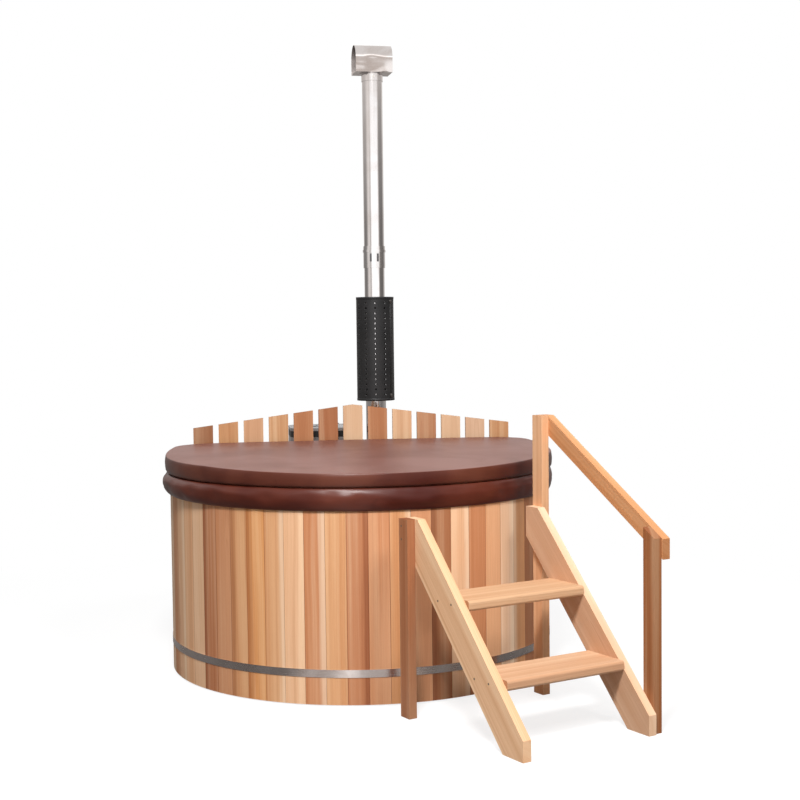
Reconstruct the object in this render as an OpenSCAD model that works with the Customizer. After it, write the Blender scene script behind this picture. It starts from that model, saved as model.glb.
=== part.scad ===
// Round wooden hot tub with a stove under water, a fence of slats, a cover and steps.
// Millimetres. The origin is the centre of the tub on the ground, and the bathers' side faces -Y.

/* [Tub] */
// Outer diameter of the wall of staves
tub_d = 1829; // [1780:1:1900]
// Thickness of a stave
stave_t = 38; // [32:1:42]
// Number of staves round the wall
stave_n = 62; // [58:1:66]
// Height of the stave tops above the ground
rim_z = 940; // [925:1:960]
// Height of the stave feet above the ground
stave_foot = 5; // [3:1:12]
// Gap at a joint between two staves
stave_gap = 0.6; // [0.4:0.1:0.9]
// Angle of the first joint between staves, from +X
stave_phase = -93.86; // [-96:0.01:-91]
// Depth of the groove in the staves that holds the floor
croze_depth = 10; // [7:1:14]
// Side of a square joist under the floor
joist = 89; // [80:1:92]
// Distance of the outermost joists from the inside of the wall
joist_in = 316.5; // [308:0.5:350]
// Thickness of the floor boards
floor_t = 38; // [30:1:40]
// Width of a floor board
floor_board_w = 120; // [112:1:122]
// Distance between the wall and the benches, joists and rails inside it
wall_gap = 3; // [2:0.5:5]

/* [Hoops] */
// Height of a hoop band
hoop_w = 34; // [28:1:38]
// Thickness of a hoop band
hoop_t = 2; // [1.5:0.1:3]
// Height of the middle of the lower hoop
hoop_low_z = 141; // [135:1:150]
// Height of the middle of the upper hoop
hoop_high_z = 885; // [875:1:895]
// Gap between the two ends of a hoop band
hoop_split = 46; // [36:1:52]
// Radius of the draw bolt of a hoop
hoop_bolt_r = 5; // [4:0.5:6]

/* [Benches] */
// Height of the top of a bench seat
bench_z = 480; // [430:5:520]
// Thickness of bench boards
bench_t = 38; // [30:1:42]
// Depth of a bench, from the wall to its front edge
bench_d = 283.5; // [255:0.5:288]
// Half length of a bench's front edge
bench_half = 500; // [440:5:510]
// Angle between a bench and the front of the tub
bench_az = 62; // [58:1:64]

/* [Fence] */
// Depth of the bay behind the fence, from its front face to the back of the wall
bay_d = 556.5; // [553:0.5:564]
// Width of a slat
slat_w = 98; // [90:1:100]
// Thickness of a slat
slat_t = 19; // [16:1:20]
// Gap between the outermost slats and the wall
slat_end = 3.3; // [3:0.1:20]
// Number of slats on each side of the middle one
slat_side = 6; // [5:1:6]
// Height of the fence's peak
fence_peak = 1222; // [1190:1:1240]
// Fall of the fence's top edge per unit of width
fence_slope = 0.13; // [0.08:0.01:0.16]
// Height of the slats' feet
slat_foot = 150; // [140:1:160]
// Height of the middle of the lowest rail
rail_low_z = 230; // [210:1:250]
// Height of the middle of the second rail
rail_mid_z = 560; // [520:1:600]
// Distance of the middle of the highest rail below the rim
rail_high_drop = 60; // [55:1:70]
// Height of a fence rail
rail_h = 89; // [70:1:95]
// Thickness of a fence rail
rail_t = 38; // [30:1:40]
// Side of the square cleats that hold the rails
cleat = 38; // [30:1:40]

/* [Cover] */
// Distance that the lid of the cover stands out over the wall
cover_over = 16; // [10:0.5:18]
// Gap between the cover's straight back edge and the fence
cover_gap = 35; // [25:1:50]
// Thickness of the lid at its front
cover_front_t = 61; // [50:1:70]
// Angle at which the lid gets thicker towards its back edge
cover_taper = 1.98; // [1:0.01:2.5]
// Depth of the cut that takes off each of the lid's two back corners
corner_cut = 12; // [6:1:20]
// Distance from the cover's straight back edge to the ends of the skirt
skirt_back = 60; // [40:1:80]
// Height that the skirt hangs below the rim
skirt_drop = 102; // [90:1:115]
// Thickness of the padded skirt
skirt_t = 17; // [12:0.5:20]

/* [Stove] */
// Length of the stove
stove_l = 545; // [530:1:555]
// Depth of the stove, front to back
stove_w = 320; // [300:1:330]
// Radius of the stove's upright corners
stove_r = 70; // [50:1:80]
// Thickness of the stove's cast walls
stove_wall = 6; // [5:0.5:8]
// Position of the stove's left end
stove_x = -308; // [-314:1:-304]
// Distance between the fence's rails and the stove
stove_gap = 83; // [77:1:87]
// Height of the stove's feet
feet_h = 73; // [60:1:90]
// Height of the top plate of the stove above the ground
stove_top = 960; // [950:1:980]
// Height of the grate above the stove's bottom
grate_up = 100; // [80:1:120]
// Height of the baffle's lower edge above the grate
baffle_up = 180; // [150:1:220]
// Height of the stove's neck above its top plate
neck_h = 87; // [80:1:100]
// Length of the stove's neck
neck_l = 323; // [310:1:330]
// Depth of the stove's neck, front to back
neck_w = 300; // [285:1:300]
// Height of the seat that the loading lid closes on
seat_h = 32; // [26:1:36]
// Thickness of the loading lid
lid_t = 15; // [12:1:18]

/* [Chimney] */
// Outer radius of the chimney pipe
pipe_r = 53; // [50:0.5:56]
// Thickness of the pipe's wall
pipe_t = 1.5; // [1:0.1:2]
// Distance of the chimney to the right of the tub's centre
flue_x = 153; // [148:1:157]
// Height of the joint between the two lengths of pipe
joint_z = 1976; // [1940:1:2000]
// Height of the top of the upper pipe
pipe_top = 2958; // [2900:1:2965]
// Outer radius of the heat guard
guard_r = 99; // [90:1:105]
// Height of the guard's lower edge
guard_z = 1226; // [1222:1:1250]
// Length of the heat guard
guard_h = 545; // [500:1:560]
// Part of the circle that the guard goes round
guard_arc = 270; // [240:5:300]
// Outer radius of the cap's round roof
cap_r = 70; // [66:1:72]
// Length of the cap
cap_l = 194; // [180:1:215]
// Height of the middle of the round roof above the top of the upper pipe
cap_up = 55; // [52:1:58]
// Height of the straight sides of the cap below the round roof
cap_side = 76; // [74:1:82]
// Turn of the cap away from the line of the fence
cap_turn = 4; // [0:1:10]

/* [Steps] */
// Direction of the steps from the front of the tub, towards +X
steps_az = 24.3; // [20:0.1:28]
// Shift of the middle of the steps to the left
steps_shift = 38.6; // [30:0.1:50]
// Thickness of stringers, posts, rail and treads
lumber_t = 38; // [34:1:42]
// Width between the stringers
tread_w = 578; // [540:1:620]
// Depth of a stringer board, square to its edge
stringer_d = 150; // [140:1:155]
// Slope of the stringers
stringer_slope = 46.24; // [45:0.01:48]
// Distance between the wall and the back of the steps
steps_gap = 97.5; // [86:0.5:105]
// Length of the stringers on the ground, from the back of the steps to their front end
steps_run = 799; // [789:1:815]
// Height of the upright cut at the front end of the stringers
nose_h = 82; // [70:1:95]
// Height of the top cut of the stringers
stringer_top = 830; // [815:1:840]
// Depth of a tread
tread_d = 235; // [225:1:240]
// Thickness of a tread
tread_t = 42; // [38:1:44]
// Radius of the rounded tread edges
tread_round = 12; // [8:1:15]
// Height of the top of the lower tread
tread_low_z = 273; // [265:1:280]
// Height of the top of the upper tread
tread_high_z = 538; // [530:1:545]
// Distance that a tread's front edge stands out from the stringers
tread_nose = 35; // [25:1:40]
// Width of a post
post_w = 65; // [60:1:68]
// Height of the tall post
tall_post = 1227; // [1190:1:1250]
// Distance of the rail's front post behind the front end of the stringers
front_post_in = 11; // [7:1:30]
// Depth of the handrail board, square to its edge
handrail_d = 70; // [64:1:90]
// Slope of the handrail
handrail_slope = 31.4; // [29:0.1:32]

/* [Drain] */
// Outer radius of the drain pipe
drain_r = 21; // [19:0.5:22]
// Wall of the drain pipe
drain_t = 3; // [2:0.5:4]
// Distance of the floor drain from the inside of the wall
drain_in = 101.5; // [92:0.5:110]
// Number of staves from the first one to the stave that the drain pipe goes through
drain_stave = 36; // [35:1:37]

/* [Hidden] */

// Roundness of large and of small curves
big = 180;
small = 48;
// Length by which a cut runs past the solid it cuts
cut = 5;
// Clearance between fixed pieces that fit into each other
fit = 0.3;
// Radial clearance of a turning pin
run = 0.08;

tub_r = tub_d / 2;
inner_r = tub_r - stave_t;
stave_pitch = 360 / stave_n;
stave_gap_deg = stave_gap / tub_r * 180 / PI;
floor_top = joist + floor_t;
floor_r = inner_r + croze_depth - fit;
// Number of joists on each side of the middle one, and their spacing
joist_side = 2;
joist_pitch = (inner_r - joist_in) / joist_side;

// A hole of radius r along +X, from the origin
module bore_x(r, l) {
    rotate([0, 90, 0]) cylinder(r = r, h = l, $fn = small);
}

// A rectangle with round corners, centred
module round_rect(l, w, r) {
    square([l - 2 * r, w], center = true);
    square([l, w - 2 * r], center = true);
    for (x = [-1, 1], y = [-1, 1]) {
        translate([x * (l / 2 - r), y * (w / 2 - r)]) circle(r = r, $fn = small);
    }
}

// ---- Wall, floor and joists

drain_a = stave_phase + (drain_stave + 0.5) * stave_pitch;
drain_u = inner_r - drain_in;
drain_z = joist / 2;

module stave(i) {
    rotate([0, 0, stave_phase + i * stave_pitch + stave_gap_deg / 2])
        rotate_extrude(angle = stave_pitch - stave_gap_deg, $fn = big)
            polygon([
                [inner_r, stave_foot], [tub_r, stave_foot], [tub_r, rim_z], [inner_r, rim_z],
                [inner_r, floor_top + fit], [inner_r + croze_depth, floor_top + fit],
                [inner_r + croze_depth, joist - fit], [inner_r, joist - fit]
            ]);
}

// The staves of one quarter of the wall, with the drain's hole where it falls
module stave_quarter(q) {
    last = q == 3 ? stave_n : round(stave_n * (q + 1) / 4);
    for (i = [round(stave_n * q / 4) : last - 1]) {
        difference() {
            stave(i);
            if (i == drain_stave) {
                rotate([0, 0, drain_a]) translate([inner_r - cut, 0, drain_z])
                    bore_x(drain_r + fit, stave_t + 2 * cut);
            }
        }
    }
}

module staves_front() {
    color("#d8a878") stave_quarter(0);
}

module staves_right() {
    color("#c9905c") stave_quarter(1);
}

module staves_back() {
    color("#b97d55") stave_quarter(2);
}

module staves_left() {
    color("#c48b62") stave_quarter(3);
}

floor_gap = 0.6;
// Number of the board that the drain goes through, and the shift that puts its middle on the drain
drained = round(drain_u * cos(drain_a) / floor_board_w);
floor_shift = drain_u * cos(drain_a) - drained * floor_board_w;
floor_first = ceil((-floor_r - floor_shift) / floor_board_w - 0.5);
floor_last = floor((floor_r - floor_shift) / floor_board_w + 0.5);

module floor_board(i) {
    difference() {
        intersection() {
            translate([0, 0, joist]) cylinder(r = floor_r, h = floor_t, $fn = big);
            translate([floor_shift + (i - 0.5) * floor_board_w + floor_gap / 2, -tub_r, joist])
                cube([floor_board_w - floor_gap, tub_d, floor_t]);
        }
        anchor_places() translate([0, 0, floor_top - anchor_in])
            cylinder(r = anchor_r + fit / 2, h = anchor_in + cut, $fn = small);
    }
}

module floor_boards() {
    color("#c08a5c") for (i = [floor_first : floor_last]) {
        if (i != drained) floor_board(i);
    }
}

module drain_board() {
    color("#b98356") difference() {
        floor_board(drained);
        rotate([0, 0, drain_a]) translate([drain_u, 0, joist - cut])
            cylinder(r = drain_r + fit, h = floor_t + 2 * cut, $fn = small);
    }
}

module chime_joists() {
    color("#b58055") for (i = [-joist_side : joist_side]) {
        y = i * joist_pitch;
        half = sqrt(pow(inner_r - wall_gap, 2) - pow(abs(y) + joist / 2, 2));
        translate([-half, y - joist / 2, 0]) cube([2 * half, joist, joist]);
    }
}

// ---- Hoops with their draw bolts

lug_a = [75, 105];
lug_t = 12;
lug_out = 24;
bolt_u = tub_r + hoop_t + lug_out / 2 + 2;
hoop_fit = 0.2;
hoop_out = tub_r + hoop_fit + hoop_t;

module hoop(z, a) {
    split = hoop_split / tub_r * 180 / PI;
    rotate([0, 0, a + split / 2]) rotate_extrude(angle = 360 - split, $fn = big)
        translate([tub_r + hoop_fit, z - hoop_w / 2]) square([hoop_t, hoop_w]);
}

module hoop_lower() {
    color("#8f8a86") hoop(hoop_low_z, lug_a[0]);
}

module hoop_upper() {
    color("#8f8a86") hoop(hoop_high_z, lug_a[1]);
}

// The two lugs at the ends of a band
module lug_pair(z, a) {
    difference() {
        rotate([0, 0, a]) for (s = [0, 1]) {
            mirror([0, s, 0]) translate([hoop_out - 2, hoop_split / 2 + 1, z - hoop_w / 2])
                cube([lug_out + 2, lug_t, hoop_w]);
        }
        cylinder(r = hoop_out + 0.05, h = rim_z, $fn = big);
        rotate([0, 0, a]) translate([bolt_u, -hoop_split, z]) rotate([-90, 0, 0])
            cylinder(r = hoop_bolt_r + fit, h = 2 * hoop_split, $fn = small);
    }
}

module hoop_lugs() {
    color("#77726e") {
        lug_pair(hoop_low_z, lug_a[0]);
        lug_pair(hoop_high_z, lug_a[1]);
    }
}

module draw_bolt(z, a) {
    reach = hoop_split / 2 + 1 + lug_t;
    head_t = 7;
    rotate([0, 0, a]) translate([bolt_u, 0, z]) rotate([-90, 0, 0]) {
        translate([0, 0, -reach - head_t]) cylinder(r = hoop_bolt_r * 1.8, h = head_t, $fn = 6);
        translate([0, 0, reach]) cylinder(r = hoop_bolt_r * 1.8, h = head_t + 1, $fn = 6);
        translate([0, 0, -reach - 1]) cylinder(r = hoop_bolt_r, h = 2 * reach + 22, $fn = small);
    }
}

module hoop_bolts() {
    color("#9a9894") {
        draw_bolt(hoop_low_z, lug_a[0]);
        draw_bolt(hoop_high_z, lug_a[1]);
    }
}

// ---- Benches along the wall on both sides of the front

bench_boards = 3;
bench_gap = 6;
bench_out = inner_r - wall_gap;
bench_in = bench_out - bench_d;
bench_leg_y = [-0.68 * bench_half, 0, 0.68 * bench_half];

module bench_places() {
    for (s = [-1, 1]) rotate([0, 0, -90 + s * bench_az]) children();
}

module bench_seats() {
    w = (bench_out - bench_in + bench_gap) / bench_boards;
    color("#cf9c6b") bench_places() for (i = [0 : bench_boards - 1]) {
        intersection() {
            translate([0, 0, bench_z - bench_t]) cylinder(r = bench_out, h = bench_t, $fn = big);
            translate([bench_in + i * w, -bench_half, bench_z - bench_t])
                cube([w - bench_gap, 2 * bench_half, bench_t]);
        }
    }
}

module bench_legs() {
    leg_h = bench_z - bench_t - floor_top;
    leg_in = bench_in + 15;
    color("#b88558") bench_places() for (y = bench_leg_y) {
        reach = sqrt(pow(bench_out, 2) - pow(abs(y) + bench_t / 2, 2));
        translate([leg_in, y - bench_t / 2, floor_top]) cube([reach - leg_in, bench_t, leg_h]);
    }
}

// ---- Fence between the bathers and the stove

fence_y = inner_r - bay_d;
rail_y = fence_y + slat_t;
rail_zs = [rail_low_z, rail_mid_z, rim_z - rail_high_drop];
slat_pitch = (sqrt(pow(inner_r, 2) - pow(rail_y, 2)) - slat_end - slat_w / 2) / slat_side;
screw_r = 2.2;
screw_head_r = 4.5;
screw_head_t = 3;
screw_in = 26;

function fence_top(x) = fence_peak - fence_slope * abs(x);

module slat(i) {
    a = i * slat_pitch - slat_w / 2;
    b = i * slat_pitch + slat_w / 2;
    peak = i == 0 ? [[0, fence_peak]] : [];
    translate([0, rail_y, 0]) rotate([90, 0, 0]) linear_extrude(slat_t)
        polygon(concat([[a, slat_foot], [b, slat_foot], [b, fence_top(b)]], peak, [[a, fence_top(a)]]));
}

// Puts a screw's shape at each crossing of a slat and a rail, pointing along +Y
module fence_crossings() {
    for (i = [-slat_side : slat_side], z = rail_zs) {
        translate([i * slat_pitch, fence_y, z]) rotate([-90, 0, 0]) children();
    }
}

// A countersunk screw of length l along +Z with its head at the origin, grown by g for its hole
module screw(l, g) {
    translate([0, 0, -g]) cylinder(r = screw_head_r + g, h = screw_head_t + g, $fn = small);
    cylinder(r = screw_r + g / 2, h = l + g, $fn = small);
}

module fence_slats() {
    color("#cf9a68") difference() {
        for (i = [-slat_side : slat_side]) slat(i);
        fence_crossings() screw(slat_t + screw_in, fit);
    }
}

module fence_rails() {
    half = sqrt(pow(inner_r, 2) - pow(rail_y + rail_t, 2)) - wall_gap;
    color("#b27c50") difference() {
        for (z = rail_zs) translate([-half, rail_y, z - rail_h / 2]) cube([2 * half, rail_t, rail_h]);
        fence_crossings() screw(slat_t + screw_in, fit);
    }
}

module fence_cleats() {
    y = rail_y + rail_t;
    out = sqrt(pow(inner_r, 2) - pow(y + cleat, 2)) - wall_gap;
    cleat_h = rail_zs[2] + rail_h / 2 - floor_top;
    color("#a9744a") for (s = [0, 1]) {
        mirror([s, 0, 0]) translate([out - cleat, y, floor_top]) cube([cleat, cleat, cleat_h]);
    }
}

module fence_screws() {
    color("#8d8a84") fence_crossings() screw(slat_t + screw_in, 0);
}

// ---- Cover: a thick lid with one straight edge, and a padded skirt round the outside of the wall

lid_gap = 0.4;
cover_z = rim_z + lid_gap;
cover_r = tub_r + cover_over;
cover_back = fence_y - cover_gap;
cover_max_t = cover_front_t + (cover_r + cover_back) * tan(cover_taper) + cut;
// Slant of the cut at a back corner, and its distance from the tub's centre
corner_a = (90 + asin(cover_back / cover_r)) / 2;
corner_x = sqrt(pow(cover_r, 2) - pow(cover_back, 2));
corner_reach = corner_x * cos(corner_a) + cover_back * sin(corner_a) - corner_cut;

// The lid's outline seen from above
module cover_plan() {
    difference() {
        circle(r = cover_r, $fn = big);
        translate([-2 * cover_r, cover_back]) square([4 * cover_r, 2 * cover_r]);
        for (s = [0, 1]) mirror([s, 0]) rotate(corner_a) {
            translate([corner_reach, -cover_r]) square([cover_r, 2 * cover_r]);
        }
    }
}

module cover_lid() {
    over = 100;
    color("#7a4034") difference() {
        translate([0, 0, cover_z]) linear_extrude(cover_max_t) cover_plan();
        translate([0, -cover_r, cover_z + cover_front_t]) rotate([cover_taper, 0, 0])
            translate([-cover_r - over, -over, 0])
                cube([2 * (cover_r + over), 2 * cover_r, 2 * over]);
    }
}

skirt_in = hoop_out + 2;
skirt_round = skirt_t / 2 - 1;
// Angle from +X at which the skirt ends
skirt_end = asin((cover_back - skirt_back) / skirt_in);

module cover_skirt() {
    low = rim_z - skirt_drop;
    tall = cover_z - low;
    color("#6b3428") rotate([0, 0, 180 - skirt_end])
        rotate_extrude(angle = 180 + 2 * skirt_end, $fn = big) {
            translate([skirt_in + skirt_round, low]) square([skirt_t - 2 * skirt_round, tall]);
            translate([skirt_in, low + skirt_round]) square([skirt_t, tall - 2 * skirt_round]);
            for (r = [skirt_in + skirt_round, skirt_in + skirt_t - skirt_round],
                 z = [low + skirt_round, cover_z - skirt_round]) {
                translate([r, z]) circle(r = skirt_round, $fn = small);
            }
        }
}

// ---- Stove that stands in the water

stove_mid = stove_x + stove_l / 2;
stove_y = rail_y + rail_t + stove_gap + stove_w / 2;
stove_z = floor_top + feet_h;
plate_t = 8;
neck_mid = stove_x + neck_l / 2;
neck_r = stove_r - 10;
neck_top = stove_top + neck_h;
flue_hole = pipe_r - pipe_t - 1.5;
grate_z = stove_z + grate_up;
grate_l = 450;
grate_half = 138;
ledge_w = 30;
ledge_l = 40;
ledge_t = 10;
baffle_x = neck_mid + neck_l / 2 + 10;

module stove_body() {
    in_w = stove_w - 2 * stove_wall;
    color("#a3a4a6") difference() {
        union() {
            difference() {
                translate([stove_mid, stove_y, stove_z]) linear_extrude(stove_top - stove_z)
                    round_rect(stove_l, stove_w, stove_r);
                translate([stove_mid, stove_y, stove_z + plate_t])
                    linear_extrude(stove_top - stove_z - 2 * plate_t)
                        round_rect(stove_l - 2 * stove_wall, in_w, stove_r - stove_wall);
            }
            // Ledges that carry the grate
            for (x = [-1, 1], y = [-1, 1]) {
                translate([stove_mid + x * grate_l / 3, stove_y + y * (in_w / 2 - ledge_w / 2 + 1),
                           grate_z - ledge_t / 2])
                    cube([ledge_l, ledge_w + 2, ledge_t], center = true);
            }
        }
        // Opening under the neck, and the hole for the smoke
        translate([neck_mid, stove_y, stove_top - 2 * plate_t]) linear_extrude(4 * plate_t)
            round_rect(neck_l - 2 * stove_wall - 12, neck_w - 2 * stove_wall, neck_r - stove_wall);
        translate([flue_x, stove_y, stove_top - 2 * plate_t])
            cylinder(r = flue_hole, h = 4 * plate_t, $fn = small);
    }
}

module stove_neck() {
    color("#adaeb0") translate([neck_mid, stove_y, stove_top]) linear_extrude(neck_h) difference() {
        round_rect(neck_l, neck_w, neck_r);
        round_rect(neck_l - 2 * stove_wall, neck_w - 2 * stove_wall, neck_r - stove_wall);
    }
}

foot_w = 50;
foot_l = stove_w - 30;
flange_w = 70;
flange_t = 8;
foot_x = [stove_mid - stove_l * 0.33, stove_mid + stove_l * 0.33];
anchor_off = stove_w / 2 + 10;
flange_half = anchor_off + 16;
anchor_r = 5;
anchor_in = 28;

module anchor_places() {
    for (x = foot_x, s = [-1, 1]) translate([x, stove_y + s * anchor_off, 0]) children();
}

module stove_feet() {
    color("#8c8d8f") difference() {
        for (x = foot_x) {
            translate([x - flange_w / 2, stove_y - flange_half, floor_top])
                cube([flange_w, 2 * flange_half, flange_t]);
            translate([x - foot_w / 2, stove_y - foot_l / 2, floor_top + 1])
                cube([foot_w, foot_l, feet_h - 1]);
        }
        anchor_places() translate([0, 0, floor_top - cut])
            cylinder(r = anchor_r + fit / 2, h = flange_t + 2 * cut, $fn = small);
    }
}

module stove_anchors() {
    color("#9a9894") anchor_places() {
        translate([0, 0, floor_top - anchor_in + 1])
            cylinder(r = anchor_r, h = anchor_in + flange_t, $fn = small);
        translate([0, 0, floor_top + flange_t]) cylinder(r = anchor_r * 1.9, h = 6, $fn = 6);
    }
}

module stove_grate() {
    bars = 8;
    bar_w = 12;
    bar_t = 18;
    pitch = (2 * grate_half - bar_w) / (bars - 1);
    color("#4a4a4c") translate([stove_mid, stove_y, grate_z]) {
        for (i = [0 : bars - 1]) {
            translate([-grate_l / 2, -grate_half + i * pitch, 0]) cube([grate_l, bar_w, bar_t]);
        }
        for (x = [-1, 1]) {
            translate([x * grate_l / 3 - 8, -grate_half, 0]) cube([16, 2 * grate_half, bar_t]);
        }
    }
}

module stove_baffle() {
    half = stove_w / 2 - stove_wall - fit;
    low = grate_z + baffle_up;
    color("#6a6b6d") translate([baffle_x, stove_y - half, low])
        cube([stove_wall, 2 * half, stove_top - plate_t - low]);
}

// ---- Loading lid with its air damper

hinge_r = 5;
knuckle_r = 10;
hinge_y = stove_y + neck_w / 2 + 14;
seat_top = neck_top + seat_h;
lid_z = seat_top + fit;
lid_top = lid_z + lid_t;
hinge_z = lid_z + lid_t / 2;
seat_rim = 36;
ear_l = 26;
// Middles of the two hinges
hinge_x = [neck_mid - 75, neck_mid + 75];
ear_gap = 0.5;

// A round eye of the hinge, from x to x + ear_l
module eye(x) {
    translate([x, hinge_y, hinge_z]) bore_x(knuckle_r, ear_l);
}

module lid_seat() {
    color("#1c1c1d") difference() {
        union() {
            translate([neck_mid, stove_y, neck_top]) linear_extrude(seat_h) difference() {
                round_rect(neck_l, neck_w, neck_r);
                round_rect(neck_l - 2 * seat_rim, neck_w - 2 * seat_rim, neck_r - seat_rim / 2);
            }
            for (x = hinge_x, s = [-1, 1]) {
                e = ear_l + ear_gap;
                eye(x + s * e - ear_l / 2);
                translate([x + s * e - ear_l / 2, stove_y + neck_w / 2 - 1, neck_top])
                    cube([ear_l, hinge_y - stove_y - neck_w / 2 + 1 + knuckle_r, seat_h]);
            }
        }
        translate([neck_mid - neck_l, hinge_y, hinge_z]) bore_x(hinge_r + run, 2 * neck_l);
    }
}

damper_r = 50;
vent_r = 12;
vent_u = 30;
pin_r = 4;

module vents(l) {
    for (a = [0, 120, 240]) {
        rotate([0, 0, a]) translate([vent_u, 0, -cut]) cylinder(r = vent_r, h = l + 2 * cut, $fn = small);
    }
}

module loading_lid() {
    color("#b2b3b5") difference() {
        union() {
            translate([neck_mid, stove_y, lid_z]) linear_extrude(lid_t) round_rect(neck_l, neck_w, neck_r);
            for (x = hinge_x) {
                eye(x - ear_l / 2);
                translate([x - ear_l / 2, stove_y + neck_w / 2 - 1, hinge_z])
                    cube([ear_l, hinge_y - stove_y - neck_w / 2 + 1, lid_t / 2]);
            }
        }
        translate([neck_mid - neck_l, hinge_y, hinge_z]) bore_x(hinge_r + run, 2 * neck_l);
        translate([neck_mid, stove_y, lid_z]) vents(lid_t);
        translate([neck_mid, stove_y, lid_z - cut])
            cylinder(r = pin_r + run, h = lid_t + 2 * cut, $fn = small);
        handle_places() translate([0, 0, -cut]) cylinder(r = handle_r + fit / 2, h = 2 * cut, $fn = small);
    }
}

module lid_hinge_pin() {
    over = 4;
    color("#8b8c8e") for (x = hinge_x) {
        translate([x - ear_l * 1.5 - over, hinge_y, hinge_z]) bore_x(hinge_r, 3 * ear_l + 2 * over);
    }
}

handle_r = 6;
handle_h = 34;
handle_half = 60;
handle_side = 95;
handle_x = neck_mid - handle_side;

module handle_places() {
    for (s = [-1, 1]) translate([handle_x, stove_y + s * handle_half, lid_top]) children();
}

module lid_handle() {
    color("#161616") {
        handle_places() translate([0, 0, -cut + fit])
            cylinder(r = handle_r, h = handle_h + cut - fit, $fn = small);
        translate([handle_x, stove_y - handle_half - 15, lid_top + handle_h]) rotate([-90, 0, 0])
            cylinder(r = handle_r + 2, h = 2 * handle_half + 30, $fn = small);
    }
}

module air_damper() {
    damper_t = 4;
    color("#9fa0a2") translate([neck_mid, stove_y, lid_top + fit]) difference() {
        union() {
            cylinder(r = damper_r, h = damper_t, $fn = small);
            translate([0, -damper_r + 5, 0]) cylinder(r = 4, h = 16, $fn = small);
        }
        vents(damper_t);
        translate([0, 0, -cut]) cylinder(r = pin_r + run, h = damper_t + 2 * cut, $fn = small);
    }
}

module damper_pin() {
    color("#77787a") translate([neck_mid, stove_y, 0]) {
        translate([0, 0, lid_z - 3]) cylinder(r = pin_r, h = lid_t + 8, $fn = small);
        translate([0, 0, lid_top + fit + 4 + fit]) cylinder(r = pin_r + 4, h = 4, $fn = small);
    }
}

// ---- Chimney

collar_h = 52;
collar_t = 6;
pipe_foot = stove_top + fit;

module at_flue(z) {
    translate([flue_x, stove_y, z]) children();
}

module tube(r, t, h) {
    difference() {
        cylinder(r = r, h = h, $fn = big);
        translate([0, 0, -cut]) cylinder(r = r - t, h = h + 2 * cut, $fn = big);
    }
}

module flue_collar() {
    color("#8c8d8f") at_flue(stove_top) difference() {
        union() {
            cylinder(r = pipe_r + collar_t + 14, h = 8, $fn = big);
            cylinder(r = pipe_r + collar_t, h = collar_h, $fn = big);
        }
        translate([0, 0, -cut]) cylinder(r = pipe_r + fit, h = collar_h + 2 * cut, $fn = big);
    }
}

module pipe_lower() {
    color("#c9cacc") at_flue(pipe_foot) tube(pipe_r, pipe_t, joint_z - pipe_foot - fit);
}

// Places of the rivets that hold the cap
rivet_r = 3;
rivet_z = pipe_top - 42;
rivet_a = [30, 150, 270];

module rivet_holes(g) {
    at_flue(rivet_z) for (a = rivet_a) {
        rotate([0, 0, a]) translate([pipe_r - 10, 0, 0]) bore_x(rivet_r + g, 20);
    }
}

module pipe_upper() {
    color("#cfd0d2") difference() {
        at_flue(joint_z + fit) tube(pipe_r, pipe_t, pipe_top - joint_z - fit);
        rivet_holes(fit / 2);
    }
}

band_low = 52;
band_high = 62;
band_t = 4;
lip_z = 30;
lip_h = 12;
lip_t = 7;
slot_h = 42;
slot_w = 11;
slot_z = -20;
slot_in = 2;
slot_a = [-115, -77];

module pipe_joint() {
    color("#bfc0c2") at_flue(joint_z) difference() {
        union() {
            translate([0, 0, -band_low])
                cylinder(r = pipe_r + band_t, h = band_low + band_high, $fn = big);
            translate([0, 0, lip_z]) cylinder(r = pipe_r + lip_t, h = lip_h, $fn = big);
        }
        translate([0, 0, -band_low - cut])
            cylinder(r = pipe_r + fit / 2, h = band_low + band_high + 2 * cut, $fn = big);
        for (a = slot_a) rotate([0, 0, a]) {
            translate([pipe_r + band_t - slot_in, -slot_w / 2, slot_z]) cube([cut, slot_w, slot_h]);
        }
    }
}

guard_t = 1.5;
guard_start = -90 - guard_arc / 2;

module heat_guard() {
    color("#17181a") at_flue(guard_z) rotate([0, 0, guard_start])
        rotate_extrude(angle = guard_arc, $fn = big)
            translate([guard_r - guard_t, 0]) square([guard_t, guard_h]);
}

bracket_z = [guard_z + 60, guard_z + guard_h - 60];
bracket_h = 20;
bracket_t = 3;
bracket_gap = 0.1;
arm_in = pipe_r + bracket_t / 2;
bracket_a = [-200, -90, 20];

module guard_brackets() {
    color("#3a3b3d") for (z = bracket_z) at_flue(z - bracket_h / 2) difference() {
        union() {
            cylinder(r = pipe_r + bracket_t, h = bracket_h, $fn = big);
            for (a = bracket_a) rotate([0, 0, a]) {
                translate([arm_in, -bracket_t / 2, 0])
                    cube([guard_r - guard_t - bracket_gap - arm_in, bracket_t, bracket_h]);
            }
        }
        translate([0, 0, -cut]) cylinder(r = pipe_r + fit / 2, h = bracket_h + 2 * cut, $fn = big);
    }
}

cap_t = 1.5;
cap_z = pipe_top + cap_up;
cap_low = cap_z - cap_side;

// The cap's shape seen along its length, drawn in by g: straight sides under a round roof
module cap_section(g) {
    circle(r = cap_r - g, $fn = big);
    translate([-cap_r + g, -cap_side + g]) square([2 * (cap_r - g), cap_side - g]);
}

// The cap's shape with a length of l, in the middle of the chimney
module cap_solid(g, l) {
    at_flue(cap_z) rotate([0, 0, cap_turn]) rotate([90, 0, 90]) translate([0, 0, -l / 2])
        linear_extrude(l) cap_section(g);
}

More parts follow.
